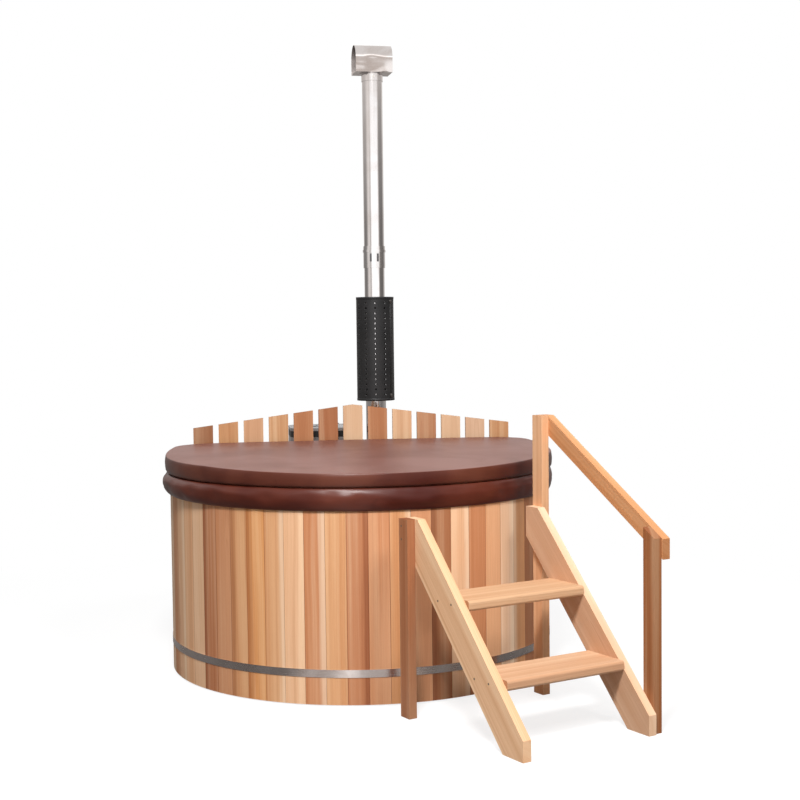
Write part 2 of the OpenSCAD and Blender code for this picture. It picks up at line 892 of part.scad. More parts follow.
// Open at both ends. Its bottom has a hole for the pipe.
module cap_barrel() {
    color("#d3d4d6") difference() {
        cap_solid(0, cap_l);
        cap_solid(cap_t, cap_l + 2 * cut);
        at_flue(cap_low - cut) cylinder(r = pipe_r + fit, h = 2 * cut + cap_t, $fn = big);
    }
}

cap_collar_t = 3;
cap_collar_r = pipe_r + fit / 2 + cap_collar_t;
collar_low = rivet_z - 20;
// The flat tabs at the top of the collar that carry the cap
tab_n = 6;
tab_r = pipe_r + 12;
tab_t = 2;
tab_gap = 9;
tab_a = 10;

module cap_collar() {
    color("#bcbdbf") difference() {
        union() {
            at_flue(collar_low) cylinder(r = cap_collar_r, h = cap_low - collar_low, $fn = big);
            at_flue(cap_low - tab_t) cylinder(r = tab_r, h = tab_t, $fn = big);
        }
        at_flue(collar_low - cut) cylinder(r = pipe_r + fit / 2, h = cap_side, $fn = big);
        at_flue(cap_low - tab_t - cut) for (i = [0 : tab_n - 1]) rotate([0, 0, tab_a + i * 360 / tab_n]) {
            translate([cap_collar_r + 1, -tab_gap / 2, 0]) cube([tab_r, tab_gap, tab_t + 2 * cut]);
        }
        rivet_holes(fit / 2);
    }
}

module cap_rivets() {
    color("#8b8c8e") at_flue(rivet_z) for (a = rivet_a) rotate([0, 0, a]) {
        translate([pipe_r - pipe_t - 1, 0, 0]) bore_x(rivet_r, cap_collar_t + pipe_t + 1.5);
        translate([cap_collar_r, 0, 0]) bore_x(rivet_r * 1.8, 2);
    }
}

// ---- Drain under the floor, with a valve outside the wall

valve_gap = 12;
valve_u = tub_r + valve_gap;
valve_l = 66;
valve_r = drain_r + 9;
ball_r = drain_r + 4;
ball_bore_r = drain_r - drain_t - 2;
tail_l = 26;
stem_u = valve_u + valve_l / 2;
stem_r = 6;
lever_t = 7;
lever_z = drain_z + valve_r + 4;

module at_drain() {
    rotate([0, 0, drain_a]) children();
}

module drain_flange() {
    color("#d9d9d6") at_drain() translate([drain_u, 0, 0]) difference() {
        union() {
            translate([0, 0, floor_top]) cylinder(r = drain_r + 16, h = 5, $fn = small);
            translate([0, 0, joist + fit]) cylinder(r = drain_r, h = floor_t, $fn = small);
        }
        translate([0, 0, joist - cut]) cylinder(r = drain_r - drain_t, h = floor_t + 20, $fn = small);
    }
}

module drain_pipe() {
    top = joist + fit;
    reach = valve_u - drain_u;
    color("#e2e2df") at_drain() translate([drain_u, 0, drain_z]) difference() {
        union() {
            cylinder(r = drain_r, h = top - drain_z, $fn = small);
            sphere(r = drain_r, $fn = small);
            bore_x(drain_r, reach);
        }
        cylinder(r = drain_r - drain_t, h = top, $fn = small);
        sphere(r = drain_r - drain_t, $fn = small);
        bore_x(drain_r - drain_t, reach + cut);
    }
}

module drain_valve() {
    color("#c8c9c4") at_drain() difference() {
        union() {
            translate([valve_u, 0, drain_z]) bore_x(valve_r, valve_l);
            translate([valve_u + valve_l - 1, 0, drain_z]) bore_x(drain_r, tail_l);
        }
        translate([valve_u - cut, 0, drain_z]) bore_x(drain_r - drain_t, valve_l + tail_l + 2 * cut);
        translate([stem_u, 0, drain_z]) sphere(r = ball_r + fit, $fn = small);
        translate([stem_u, 0, drain_z]) cylinder(r = stem_r + run, h = valve_r + cut, $fn = small);
    }
}

// The ball that stops the water, with its stem. Its bore lies across the pipe when the valve is shut.
module valve_ball() {
    color("#b5b6b8") at_drain() translate([stem_u, 0, drain_z]) difference() {
        union() {
            sphere(r = ball_r, $fn = small);
            cylinder(r = stem_r, h = lever_z + lever_t + 3 - drain_z, $fn = small);
        }
        translate([0, -2 * ball_r, 0]) rotate([-90, 0, 0])
            cylinder(r = ball_bore_r, h = 4 * ball_r, $fn = small);
    }
}

// The lever lies across the pipe when the valve is shut
module drain_lever() {
    lever_l = 95;
    color("#a8321f") at_drain() translate([stem_u, 0, lever_z]) difference() {
        union() {
            cylinder(r = 13, h = lever_t, $fn = small);
            translate([-9, 0, 0]) cube([18, lever_l, lever_t]);
            translate([0, lever_l, 0]) cylinder(r = 9, h = lever_t, $fn = small);
        }
        translate([0, 0, -cut]) cylinder(r = stem_r + fit / 2, h = lever_t + 2 * cut, $fn = small);
    }
}

// ---- Steps. Here x runs outwards from the tub, y across the steps and z up.

back_u = tub_r + steps_gap;
nose_u = back_u + steps_run;
front_post_u = nose_u - front_post_in;
left_in = -steps_shift - tread_w / 2;
right_in = -steps_shift + tread_w / 2;
left_out = left_in - lumber_t;
right_out = right_in + lumber_t;
rise = tan(stringer_slope);
// Distance along x between the upper and the lower edge of a stringer
stringer_run = stringer_d / sin(stringer_slope);
edge_u = nose_u + nose_h / rise;

module at_steps() {
    rotate([0, 0, steps_az - 90]) children();
}

// A board with its outline in x and z, from y to y + t
module board(y, t) {
    translate([0, y + t, 0]) rotate([90, 0, 0]) linear_extrude(t) children();
}

// Distance of the stringers' upper edge at height z
function front_u(z) = edge_u - z / rise;

module stringer() {
    low_u = edge_u - stringer_run;
    polygon([
        [low_u, 0], [nose_u, 0], [nose_u, nose_h], [front_u(stringer_top), stringer_top],
        [back_u, stringer_top], [back_u, (low_u - back_u) * rise]
    ]);
}

step_screw_l = lumber_t + 30;
tread_zs = [tread_low_z, tread_high_z];

function tread_front(z) = front_u(z) + tread_nose;

// Screws through the stringers into the ends of the treads, pointing along +Y
module tread_screws(g) {
    for (z = tread_zs, d = [0.27, 0.73]) {
        x = front_u(z - tread_t / 2) - stringer_run * d;
        translate([x, left_out, z - tread_t / 2]) rotate([-90, 0, 0]) screw(step_screw_l, g);
        translate([x, right_out, z - tread_t / 2]) rotate([90, 0, 0]) screw(step_screw_l, g);
    }
}

// Screws through the posts into the stringers
module post_screws(g) {
    post_screw_l = 2 * lumber_t - 8;
    mid = back_u + post_w / 2;
    for (z = [stringer_top - 30, stringer_top - 85]) {
        translate([mid - 14, left_out - lumber_t, z]) rotate([-90, 0, 0]) screw(post_screw_l, g);
        translate([mid + 12, right_out + lumber_t, z]) rotate([90, 0, 0]) screw(post_screw_l, g);
    }
    for (z = [30, 62]) {
        translate([front_post_u - post_w / 2, right_out + lumber_t, z]) rotate([90, 0, 0])
            screw(post_screw_l, g);
    }
}

// Heights of the handrail's screws above its upper edge
rail_screw_z = [-22, -46];

// Screws through the handrail into its two posts
module handrail_screws(g) {
    for (u = [back_u + post_w / 2, front_post_u - post_w / 2], dz = rail_screw_z) {
        translate([u + dz / 8, right_out + 2 * lumber_t, handrail_z(u) + dz]) rotate([90, 0, 0])
            screw(step_screw_l - 8, g);
    }
}

module stringer_left() {
    color("#d3a074") at_steps() difference() {
        board(left_out, lumber_t) stringer();
        tread_screws(fit);
        post_screws(fit);
    }
}

module stringer_right() {
    color("#d9a97c") at_steps() difference() {
        board(right_in, lumber_t) stringer();
        tread_screws(fit);
        post_screws(fit);
    }
}

module tread(z) {
    r = tread_round;
    at_steps() difference() {
        board(left_in, tread_w) translate([tread_front(z) - tread_d, z - tread_t]) {
            translate([r, 0]) square([tread_d - 2 * r, tread_t]);
            translate([0, r]) square([tread_d, tread_t - 2 * r]);
            for (x = [r, tread_d - r], y = [r, tread_t - r]) translate([x, y]) circle(r = r, $fn = small);
        }
        tread_screws(fit);
    }
}

module tread_lower() {
    color("#dcb083") tread(tread_low_z);
}

module tread_upper() {
    color("#e0b68a") tread(tread_high_z);
}

module post_left() {
    color("#a9714c") at_steps() difference() {
        translate([back_u, left_out - lumber_t, 0]) cube([post_w, lumber_t, stringer_top]);
        post_screws(fit);
    }
}

module post_tall() {
    color("#b87f55") at_steps() difference() {
        translate([back_u, right_out, 0]) cube([post_w, lumber_t, tall_post]);
        post_screws(fit);
        handrail_screws(fit);
    }
}

rail_fall = tan(handrail_slope);
rail_drop = handrail_d / cos(handrail_slope);
rail_over = 6;
rail_end = front_post_u + rail_over;
// Distance of the handrail's knee behind the front of the tall post
knee_in = 11;
knee_u = back_u + post_w - knee_in;

// Height of the handrail's upper edge, level over the tall post and then sloping down
function handrail_z(u) = tall_post - rail_fall * max(0, u - knee_u);

module post_front() {
    back = front_post_u - post_w;
    front = front_post_u;
    color("#b07a50") at_steps() difference() {
        board(right_out, lumber_t)
            polygon([[back, 0], [front, 0], [front, handrail_z(front)], [back, handrail_z(back)]]);
        post_screws(fit);
        handrail_screws(fit);
    }
}

module handrail() {
    low = tall_post - rail_drop;
    color("#d6a87c") at_steps() difference() {
        board(right_out + lumber_t, lumber_t) polygon([
            [back_u, tall_post], [knee_u, tall_post], [rail_end, handrail_z(rail_end)],
            [rail_end, handrail_z(rail_end) - rail_drop], [back_u, low + (knee_u - back_u) * rail_fall]
        ]);
        handrail_screws(fit);
    }
}

module step_screws() {
    color("#6e6a64") at_steps() {
        tread_screws(0);
        post_screws(0);
    }
}

module rail_screws() {
    color("#6e6a64") at_steps() handrail_screws(0);
}

staves_front();
staves_right();
staves_back();
staves_left();
floor_boards();
drain_board();
chime_joists();
hoop_lower();
hoop_upper();
hoop_lugs();
hoop_bolts();
bench_seats();
bench_legs();
fence_slats();
fence_rails();
fence_cleats();
fence_screws();
cover_lid();
cover_skirt();
stove_body();
stove_neck();
stove_feet();
stove_anchors();
stove_grate();
stove_baffle();
lid_seat();
loading_lid();
lid_hinge_pin();
lid_handle();
air_damper();
damper_pin();
flue_collar();
pipe_lower();
pipe_joint();
pipe_upper();
heat_guard();
guard_brackets();
cap_barrel();
cap_collar();
cap_rivets();
drain_flange();
drain_pipe();
drain_valve();
valve_ball();
drain_lever();
stringer_left();
stringer_right();
tread_lower();
tread_upper();
post_left();
post_tall();
post_front();
handrail();
step_screws();
rail_screws();
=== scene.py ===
import math

import bmesh
import bpy
from mathutils import Matrix, Vector, noise


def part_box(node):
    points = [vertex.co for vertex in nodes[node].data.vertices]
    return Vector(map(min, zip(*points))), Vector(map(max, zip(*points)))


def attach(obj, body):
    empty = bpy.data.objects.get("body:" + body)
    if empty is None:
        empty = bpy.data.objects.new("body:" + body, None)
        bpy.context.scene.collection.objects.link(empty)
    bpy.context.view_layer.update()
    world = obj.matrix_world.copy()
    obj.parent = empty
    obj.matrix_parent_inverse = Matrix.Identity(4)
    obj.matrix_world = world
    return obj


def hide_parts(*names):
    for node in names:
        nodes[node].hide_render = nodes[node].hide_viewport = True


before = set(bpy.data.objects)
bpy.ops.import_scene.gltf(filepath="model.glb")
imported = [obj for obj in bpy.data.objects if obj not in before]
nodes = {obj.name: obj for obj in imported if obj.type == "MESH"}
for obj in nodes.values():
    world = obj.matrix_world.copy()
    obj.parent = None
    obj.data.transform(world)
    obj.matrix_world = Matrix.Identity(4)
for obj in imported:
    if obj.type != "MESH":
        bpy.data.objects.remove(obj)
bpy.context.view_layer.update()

# The bathers' side is at -Y, the stove's at +Y, and the origin is the tub's centre on the ground
X, Y, Z = (1, 0, 0), (0, 1, 0), (0, 0, 1)

# ---- Sizes that repeat the CAD's, in metres

TUB_R = 0.9145
STAVE_T = 0.038
STAVE_N = 62
STAVE_PHASE = -93.86  # the joint before the first stave, in degrees from +X
FLOOR_PITCH, FLOOR_SHIFT = 0.12, -0.0047
JOIST_PITCH = 0.28
SLAT_PITCH, SLAT_Y = 0.126, 0.33
RAIL_PITCH, RAIL_LOWEST = 0.325, 0.23
SEAT_EDGE, SEAT_BOARD, SEAT_PITCH, SEAT_Z = 0.59, 0.096, 0.0965, 0.461
LEG_OUT, LEG_PITCH = 0.73, 0.34
BENCH_TURN = math.radians(-28)
STEPS_TURN = math.radians(24.3 - 90)
STRINGER_SLOPE = math.radians(46.24)
RAIL_SLOPE = math.radians(31.4)
PIPE_AXIS = (0.153, 0.620)
PIPE_R = 0.053
HOOD_TURN = math.radians(4)


def linear(code):
    """A colour written as in a picture, as the linear numbers a shader takes."""
    parts = [int(code[i:i + 2], 16) / 255 for i in (1, 3, 5)]
    return tuple(c / 12.92 if c <= 0.04045 else ((c + 0.055) / 1.055) ** 2.4 for c in parts) + (1.0,)


def grey(value):
    return (value, value, value, 1.0)


def warm(value):
    """A grey with the faint warmth of a studio's walls, or plain white where it is a lamp's."""
    return (value, value * 0.945, value * 0.905, 1.0) if value < 1 else grey(value)


WHITE = grey(1.0)


# ---- Camera, fitted to the photograph's outlines of the wall, cover, fence, steps and chimney

camera_data = bpy.data.cameras.new("camera")
camera = bpy.data.objects.new("camera", camera_data)
bpy.context.scene.collection.objects.link(camera)
right = Vector((0.99153184, -0.12935773, -0.01145399))
up = Vector((0.01851869, 0.05354357, 0.99839378))
forward = Vector((0.12853667, 0.99015133, -0.05548569))
eye = (-0.703106, -6.964599, 1.648869)
camera.matrix_world = Matrix((*zip(right, up, -forward, eye), (0, 0, 0, 1)))
camera_data.sensor_width = 36
camera_data.lens = 64.84
camera_data.clip_end = 200
bpy.context.scene.camera = camera
bpy.context.scene.view_settings.view_transform = "Standard"


# ---- Node helpers

class Shader:
    """A tree of shader nodes. Each helper gives back an output socket."""

    def __init__(self, name, tree=None):
        if tree is None:
            self.mat = bpy.data.materials.new(name)
            self.mat.use_nodes = True
            tree = self.mat.node_tree
        self.tree = tree
        tree.nodes.clear()

    def output(self, kind="ShaderNodeOutputMaterial"):
        return self.tree.nodes.new(kind)

    @property
    def point(self):
        return self.node("ShaderNodeTexCoord").outputs["Object"]

    def node(self, kind, inputs=None, **props):
        """A new node. inputs are plain values or the sockets of other nodes."""
        n = self.tree.nodes.new(kind)
        for key, value in props.items():
            setattr(n, key, value)
        for key, value in (inputs or {}).items():
            self.put(n.inputs[key], value)
        return n

    def put(self, socket, value):
        if isinstance(value, bpy.types.NodeSocket):
            self.tree.links.new(value, socket)
        else:
            socket.default_value = value

    def math(self, operation, a, b=None):
        n = self.node("ShaderNodeMath", {0: a}, operation=operation)
        if b is not None:
            self.put(n.inputs[1], b)
        return n.outputs[0]

    def add(self, a, b):
        return self.math("ADD", a, b)

    def sub(self, a, b):
        return self.math("SUBTRACT", a, b)

    def mul(self, a, b):
        return self.math("MULTIPLY", a, b)

    def hypot(self, a, b):
        return self.math("SQRT", self.add(self.mul(a, a), self.mul(b, b)))

    def dot(self, vector, axis):
        n = self.node("ShaderNodeVectorMath", {0: vector, 1: axis}, operation="DOT_PRODUCT")
        return n.outputs["Value"]

    def xyz(self, vector):
        n = self.node("ShaderNodeSeparateXYZ", {0: vector})
        return n.outputs[0], n.outputs[1], n.outputs[2]

    def join(self, x, y, z):
        return self.node("ShaderNodeCombineXYZ", {0: x, 1: y, 2: z}).outputs[0]

    def stretched(self, waves):
        """The point with each coordinate times its own number, for noise that is drawn out."""
        return self.join(*(self.mul(at, wave) for at, wave in zip(self.xyz(self.point), waves)))

    def noise(self, vector, scale=1.0, detail=2.0, rough=0.5, distortion=0.0):
        return self.node("ShaderNodeTexNoise", {
            "Vector": vector, "Scale": scale, "Detail": detail, "Roughness": rough, "Distortion": distortion,
        }).outputs["Fac"]

    def random(self, number):
        """From 0 to 1, by a number."""
        return self.node("ShaderNodeTexWhiteNoise", {"W": number}, noise_dimensions="1D").outputs["Value"]

    def span(self, value, low, high, out_low=0.0, out_high=1.0):
        """Maps low..high to out_low..out_high, clamped."""
        return self.node("ShaderNodeMapRange", {
            "Value": value, "From Min": low, "From Max": high, "To Min": out_low, "To Max": out_high,
        }, clamp=True).outputs["Result"]

    def ramp(self, value, stops, interpolation="LINEAR"):
        n = self.node("ShaderNodeValToRGB", {"Fac": value})
        n.color_ramp.interpolation = interpolation
        elements = n.color_ramp.elements
        while len(elements) < len(stops):
            elements.new(1.0)
        for element, (position, colour) in zip(elements, stops):
            element.position = position
            element.color = colour
        return n.outputs["Color"]

    def pick(self, share, colours):
        """One colour of a list. share runs from 0 to 1 over the list."""
        return self.ramp(share, [(i / len(colours), c) for i, c in enumerate(colours)], "CONSTANT")

    def mix(self, factor, a, b, blend="MIX"):
        """Colour a turning into b, or into the two blended, by factor."""
        n = self.node("ShaderNodeMix", data_type="RGBA", blend_type=blend)
        self.put(n.inputs["Factor"], factor)
        self.put(n.inputs["A"], a)
        self.put(n.inputs["B"], b)
        return n.outputs["Result"]

    def shade(self, factor, colour, code):
        """Multiplies a colour by another, by factor."""
        return self.mix(factor, colour, linear(code), "MULTIPLY")

    def bump(self, height, strength, distance, under=None):
        """A bumpy normal, on top of another one where under is given."""
        n = self.node("ShaderNodeBump", {"Height": height, "Strength": strength, "Distance": distance})
        if under is not None:
            self.put(n.inputs["Normal"], under)
        return n.outputs["Normal"]

    def surface(self, colour, roughness, normal=None, metallic=0.0, specular=0.5):
        n = self.node("ShaderNodeBsdfPrincipled", {
            "Base Color": colour, "Roughness": roughness, "Metallic": metallic,
            "Specular IOR Level": specular,
        })
        if normal is not None:
            self.put(n.inputs["Normal"], normal)
        self.tree.links.new(n.outputs[0], self.output().inputs["Surface"])
        return self.mat


def dress(material, *names):
    """Gives CAD nodes one material."""
    for name in names:
        mesh = nodes[name].data
        mesh.materials.clear()
        mesh.materials.append(material)


# ---- Wood

# Cedar from cream to brown, then the steps' own tones
TONES = {
    "w": "#F7D8B9", "c": "#F4CDA8", "k": "#EDC29C", "l": "#EBB98F", "p": "#E2B593", "g": "#DE9F67",
    "o": "#D9A274", "s": "#D2966D", "m": "#CC8F66", "r": "#BF8059", "b": "#AC7653",
    "v": "#F0CCAB", "y": "#F2C8A0", "u": "#D6AC8A", "t": "#D3AA85", "h": "#D59D6E", "d": "#AE7653",
    "e": "#A0673F",
}
# The tone of each stave from the first joint on, counterclockwise seen from above. The first 10 and the last
# 14 are in sight from the front.
STAVE_TONES = "sosbkmlwob" + "brslgprsclbgspcblrsgplsrcgbslprgclsbgp" + "wmclkrmogokmor"
# Streaks along a stave's edges: dark at its left or right (d, D), pale at its left or right (w, W), none (n)
STAVE_STREAKS = "nWndWnnWwn" + "nDnwnnWnDnnwnnDnWnndnnWnnDnnwnnWnnDnnn" + "nnWnndnddWnWnD"
# The tone of each slat of the fence from left to right
SLAT_TONES = "bosomrcmlrcpo"
RINGS_PER_M = 420.0


def tones(letters):
    """The colours of a row of tones."""
    return [linear(TONES[letter]) for letter in letters]


def wood_surface(s, u, v, w, tone, seed, figure=1.0, end=0.0, dark=0.0, pale=0.0):
    """Cedar cut from a round log. u runs across the board, v through it and w along the grain, in metres from
    the board's middle. seed differs from board to board, and figure is how much the rings wander. end, dark
    and pale are masks of the end grain and of darker and paler places. The darker places are the staves' dark
    joints and streaks, and on some boards a painted shade of their broad faces."""
    shift = s.mul(seed, 7.31)

    def streaks(across, along, detail, rough=0.5, shift_u=0.0, shift_w=0.0):
        """Noise drawn out along the grain, by its waves to the metre across it and along it."""
        at = s.join(s.add(s.mul(u, across), shift_u), s.mul(v, across), s.add(s.mul(w, along), shift_w))
        return s.noise(at, 1.0, detail, rough)

    def centred(value):
        return s.sub(value, 0.5)

    # Rings round the middle of the log, which lies beside the board and below it. They wander, ripple and run
    # out of the board.
    wander = streaks(3.0, 0.8, 2.0, shift_u=shift, shift_w=shift)
    ripple = streaks(22.0, 5.0, 2.0, shift_u=shift)
    beside = s.mul(centred(s.random(seed)), 0.34)
    below = s.span(s.random(s.add(seed, 17.3)), 0.0, 1.0, 0.03, 0.16)
    run_out = s.mul(w, centred(s.random(s.add(seed, 5.7))))
    ring_r = s.hypot(s.sub(u, beside), s.add(v, below))
    for move, metres in (
        (centred(wander), 0.022 * figure),
        (centred(ripple), 0.0022),
        (run_out, 0.010 * figure),
    ):
        ring_r = s.add(ring_r, s.mul(move, metres))
    ring_at = s.mul(ring_r, RINGS_PER_M)
    weight = s.random(s.add(s.math("FLOOR", ring_at), shift))
    late = s.mul(s.math("POWER", s.math("FRACT", ring_at), 3.0), s.span(weight, 0.0, 1.0, 0.2, 1.0))

    # Bands of many rings, then fibres and flecks
    band = s.noise(s.join(s.add(s.mul(ring_r, 85.0), shift), s.mul(w, 0.35), shift), 1.0, 4.0, 0.62)
    broad = s.noise(s.join(s.add(s.mul(ring_r, 20.0), shift), s.mul(w, 0.4), s.add(shift, 3.0)))
    fibre = streaks(850.0, 11.0, 3.0, 0.7, shift_w=shift)
    fleck = streaks(1500.0, 70.0, 1.0)
    colour = tone
    for mask, code, blend in (
        (s.span(broad, 0.42, 0.68, 0.0, 0.42), "#DDBC9A", "MULTIPLY"),
        (s.span(broad, 0.50, 0.32, 0.0, 0.16), "#F6DDB8", "MIX"),
        (s.span(band, 0.50, 0.76, 0.0, 0.46), "#CFA680", "MULTIPLY"),
        (s.span(band, 0.46, 0.24, 0.0, 0.22), "#F7E0BE", "MIX"),
        (s.mul(late, 0.28), "#BD9068", "MULTIPLY"),
        (s.span(fibre, 0.40, 0.78, 0.0, 0.22), "#D0AC88", "MULTIPLY"),
        (s.span(fleck, 0.68, 0.80, 0.0, 0.25), "#A8805C", "MULTIPLY"),
        (dark, "#AC7E60", "MULTIPLY"),
        (pale, "#F8E0C2", "MIX"),
        (s.mul(end, 0.6), "#C8A27E", "MULTIPLY"),
    ):
        colour = s.mix(mask, colour, linear(code), blend)
    height = s.add(s.mul(fibre, 0.6), s.mul(late, -0.4))
    return s.surface(colour, s.span(fibre, 0.2, 0.8, 0.46, 0.64), s.bump(height, 0.25, 0.0006), specular=0.3)


def end_mask(s, axis):
    """1 where the surface faces along an axis, such as the grain's."""
    normal = s.node("ShaderNodeNewGeometry").outputs["Normal"]
    return s.span(s.math("ABSOLUTE", s.dot(normal, axis)), 0.75, 0.9)


def by_number(s, share, colours):
    """One colour of a long list. A ramp holds no more than 32 colours, so the list is cut in two."""
    half = len(colours) // 2
    middle = half / len(colours)
    first = s.pick(s.mul(share, 1 / middle), colours[:half])
    second = s.pick(s.span(share, middle, 1.0), colours[half:])
    return s.mix(s.math("GREATER_THAN", share, middle), first, second)


def stave_wood():
    """The wall, each stave with its own tone, figure and streak, and a dark line at each joint."""
    s = Shader("stave_wood")
    x, y, z = s.xyz(s.point)
    angle = s.mul(s.math("ARCTAN2", y, x), 180 / math.pi)
    # From 0 to 1 round the wall. The 2.0 keeps it above 0.
    turns = s.math("FRACT", s.add(s.mul(s.sub(angle, STAVE_PHASE), 1 / 360), 2.0))
    place_in_ring = s.mul(turns, STAVE_N)
    index = s.math("FLOOR", place_in_ring)
    within = s.math("FRACT", place_in_ring)
    share = s.mul(s.add(index, 0.5), 1 / STAVE_N)
    tone = by_number(s, share, tones(STAVE_TONES))
    # Red tells that the streak is dark, green that it is pale, and blue that it is at the left
    kinds = [tuple(float(letter in kind) for kind in ("dD", "wW", "dw")) + (1.0,) for letter in STAVE_STREAKS]
    dark, pale, at_left = s.xyz(by_number(s, share, kinds))
    # Counterclockwise is to the right seen from outside
    from_edge = s.add(s.mul(at_left, within), s.mul(s.sub(1.0, at_left), s.sub(1.0, within)))
    uneven = s.noise(s.join(s.mul(within, 9.0), s.mul(z, 1.5), index), 1.0, 3.0)
    strip = s.span(s.add(from_edge, s.mul(uneven, 0.35)), 0.32, 0.52, 1.0, 0.0)
    upward = end_mask(s, Z)
    off_middle = s.sub(within, 0.5)
    joint = s.mul(s.span(s.math("ABSOLUTE", off_middle), 0.484, 0.498), s.sub(1.0, upward))
    u = s.mul(off_middle, 2 * math.pi * TUB_R / STAVE_N)
    v = s.sub(s.hypot(x, y), TUB_R - STAVE_T / 2)
    darker = s.math("MAXIMUM", joint, s.mul(s.mul(strip, dark), 0.5))
    paler = s.mul(s.mul(strip, pale), 0.42)
    return wood_surface(s, u, v, z, tone, s.add(index, 3.0), 1.0, upward, darker, paler)


def board_wood(name, across, depth, along, letters, node=None, pitch=0.0, start=0.0, seed=1.0, figure=1.0,
               face_shade=0.0):
    """Wood for straight boards. Either a node is one board, or boards repeat every pitch across, from start
    on, each with one of the tones by its number. The last argument is how far the broad faces are darker
    than the edges, a painted shade."""
    s = Shader(name)
    middle = sum(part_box(node), Vector()) / 2 if node else Vector()
    point = s.point
    u, v, w = (s.sub(s.dot(point, axis), middle.dot(Vector(axis))) for axis in (across, depth, along))
    number = seed
    if pitch:
        board = s.math("ROUND", s.mul(s.sub(u, start), 1 / pitch))
        u = s.sub(s.sub(u, start), s.mul(board, pitch))
        number = s.add(board, seed)
    tone = s.pick(s.random(number), tones(letters)) if len(letters) > 1 else tones(letters)[0]
    # Painted shade: the broad faces are darker than the edges.
    painted_face_shade = s.mul(end_mask(s, depth), face_shade)
    return wood_surface(s, u, v, w, tone, number, figure, end_mask(s, along), painted_face_shade)


def slat_wood():
    """The slats of the fence, a little darker and greyer than the staves: a painted shade, as less light
    falls on the fence.
    """
    s = Shader("slat_wood")
    x, y, z = s.xyz(s.point)
    number = s.math("ROUND", s.mul(x, 1 / SLAT_PITCH))
    share = s.mul(s.add(number, len(SLAT_TONES) / 2), 1 / len(SLAT_TONES))
    # Multiplied by a cool grey: painted shade.
    tone = s.shade(1.0, s.pick(share, tones(SLAT_TONES)), "#E9EEF2")
    u = s.sub(x, s.mul(number, SLAT_PITCH))
    return wood_surface(s, u, s.sub(y, SLAT_Y), z, tone, s.add(number, 31.0), 1.8, end_mask(s, Z))


def bench_wood(name, is_seat):
    """Wood of the two benches, which mirror each other: the boards of the seats, or the legs."""
    s = Shader(name)
    x, y, z = s.xyz(s.point)
    side, aside = s.math("SIGN", x), s.math("ABSOLUTE", x)
    cos, sin = math.cos(BENCH_TURN), math.sin(BENCH_TURN)
    out = s.add(s.mul(aside, cos), s.mul(y, sin))
    length = s.add(s.mul(aside, -sin), s.mul(y, cos))
    if is_seat:
        board = s.math("FLOOR", s.mul(s.sub(out, SEAT_EDGE), 1 / SEAT_PITCH))
        number = s.add(board, s.mul(side, 5.0))
        u = s.sub(s.sub(out, SEAT_EDGE + SEAT_BOARD / 2), s.mul(board, SEAT_PITCH))
        v, w, letters = s.sub(z, SEAT_Z), length, "lgsc"
    else:
        leg = s.math("ROUND", s.mul(length, 1 / LEG_PITCH))
        number = s.add(leg, s.mul(side, 9.0))
        u = s.sub(out, LEG_OUT)
        v, w, letters = s.sub(length, s.mul(leg, LEG_PITCH)), z, "srg"
    return wood_surface(s, u, v, w, s.pick(s.random(number), tones(letters)), number)


dress(stave_wood(), "staves_front", "staves_right", "staves_back", "staves_left")
dress(board_wood("floor_wood", X, Z, Y, "lgsp", pitch=FLOOR_PITCH, start=FLOOR_SHIFT), "floor_boards",
      "drain_board")
dress(board_wood("joist_wood", Y, Z, X, "rbs", pitch=JOIST_PITCH), "chime_joists")
dress(board_wood("rail_wood", Z, Y, X, "srb", pitch=RAIL_PITCH, start=RAIL_LOWEST), "fence_rails")
# One cleat lies left of the middle and one right, so a pitch of 1 m tells them apart
dress(board_wood("cleat_wood", X, Y, Z, "br", pitch=1.0, start=0.5), "fence_cleats")
dress(slat_wood(), "fence_slats")
dress(bench_wood("bench_seat_wood", True), "bench_seats")
dress(bench_wood("bench_leg_wood", False), "bench_legs")


def step_axis(outward, sideways, upwards):
    """A direction of the steps' own frame, in the frame of the tub."""
    return tuple(Matrix.Rotation(STEPS_TURN, 3, "Z") @ Vector((outward, sideways, upwards)))


def down_slope(angle):
    """The direction down a slope of the steps, and the one square to it."""
    return step_axis(math.cos(angle), 0, -math.sin(angle)), step_axis(math.sin(angle), 0, math.cos(angle))


stringer_along, stringer_across = down_slope(STRINGER_SLOPE)
rail_along, rail_across = down_slope(RAIL_SLOPE)
side_axis, out_axis = step_axis(0, 1, 0), step_axis(1, 0, 0)
# The last column is how far a board's broad faces are darker, a painted shade; the right stringer gets it.
for name, across, depth, along, letter, seed, figure, face_shade in (
    ("stringer_left", stringer_across, side_axis, stringer_along, "y", 4.0, 0.9, 0.0),
    ("stringer_right", stringer_across, side_axis, stringer_along, "v", 5.0, 0.6, 0.34),
    ("tread_lower", out_axis, Z, side_axis, "u", 18.0, 0.9, 0.0),
    ("tread_upper", out_axis, Z, side_axis, "t", 21.0, 0.7, 0.0),
    ("post_left", side_axis, out_axis, Z, "d", 26.0, 0.7, 0.0),
    ("post_tall", side_axis, out_axis, Z, "l", 33.0, 0.7, 0.0),
    ("post_front", side_axis, out_axis, Z, "e", 38.0, 0.7, 0.0),
    ("handrail", rail_across, side_axis, rail_along, "h", 44.0, 0.8, 0.0),
):
    dress(board_wood(name + "_wood", across, depth, along, letter, node=name, seed=seed, figure=figure,
                     face_shade=face_shade), name)

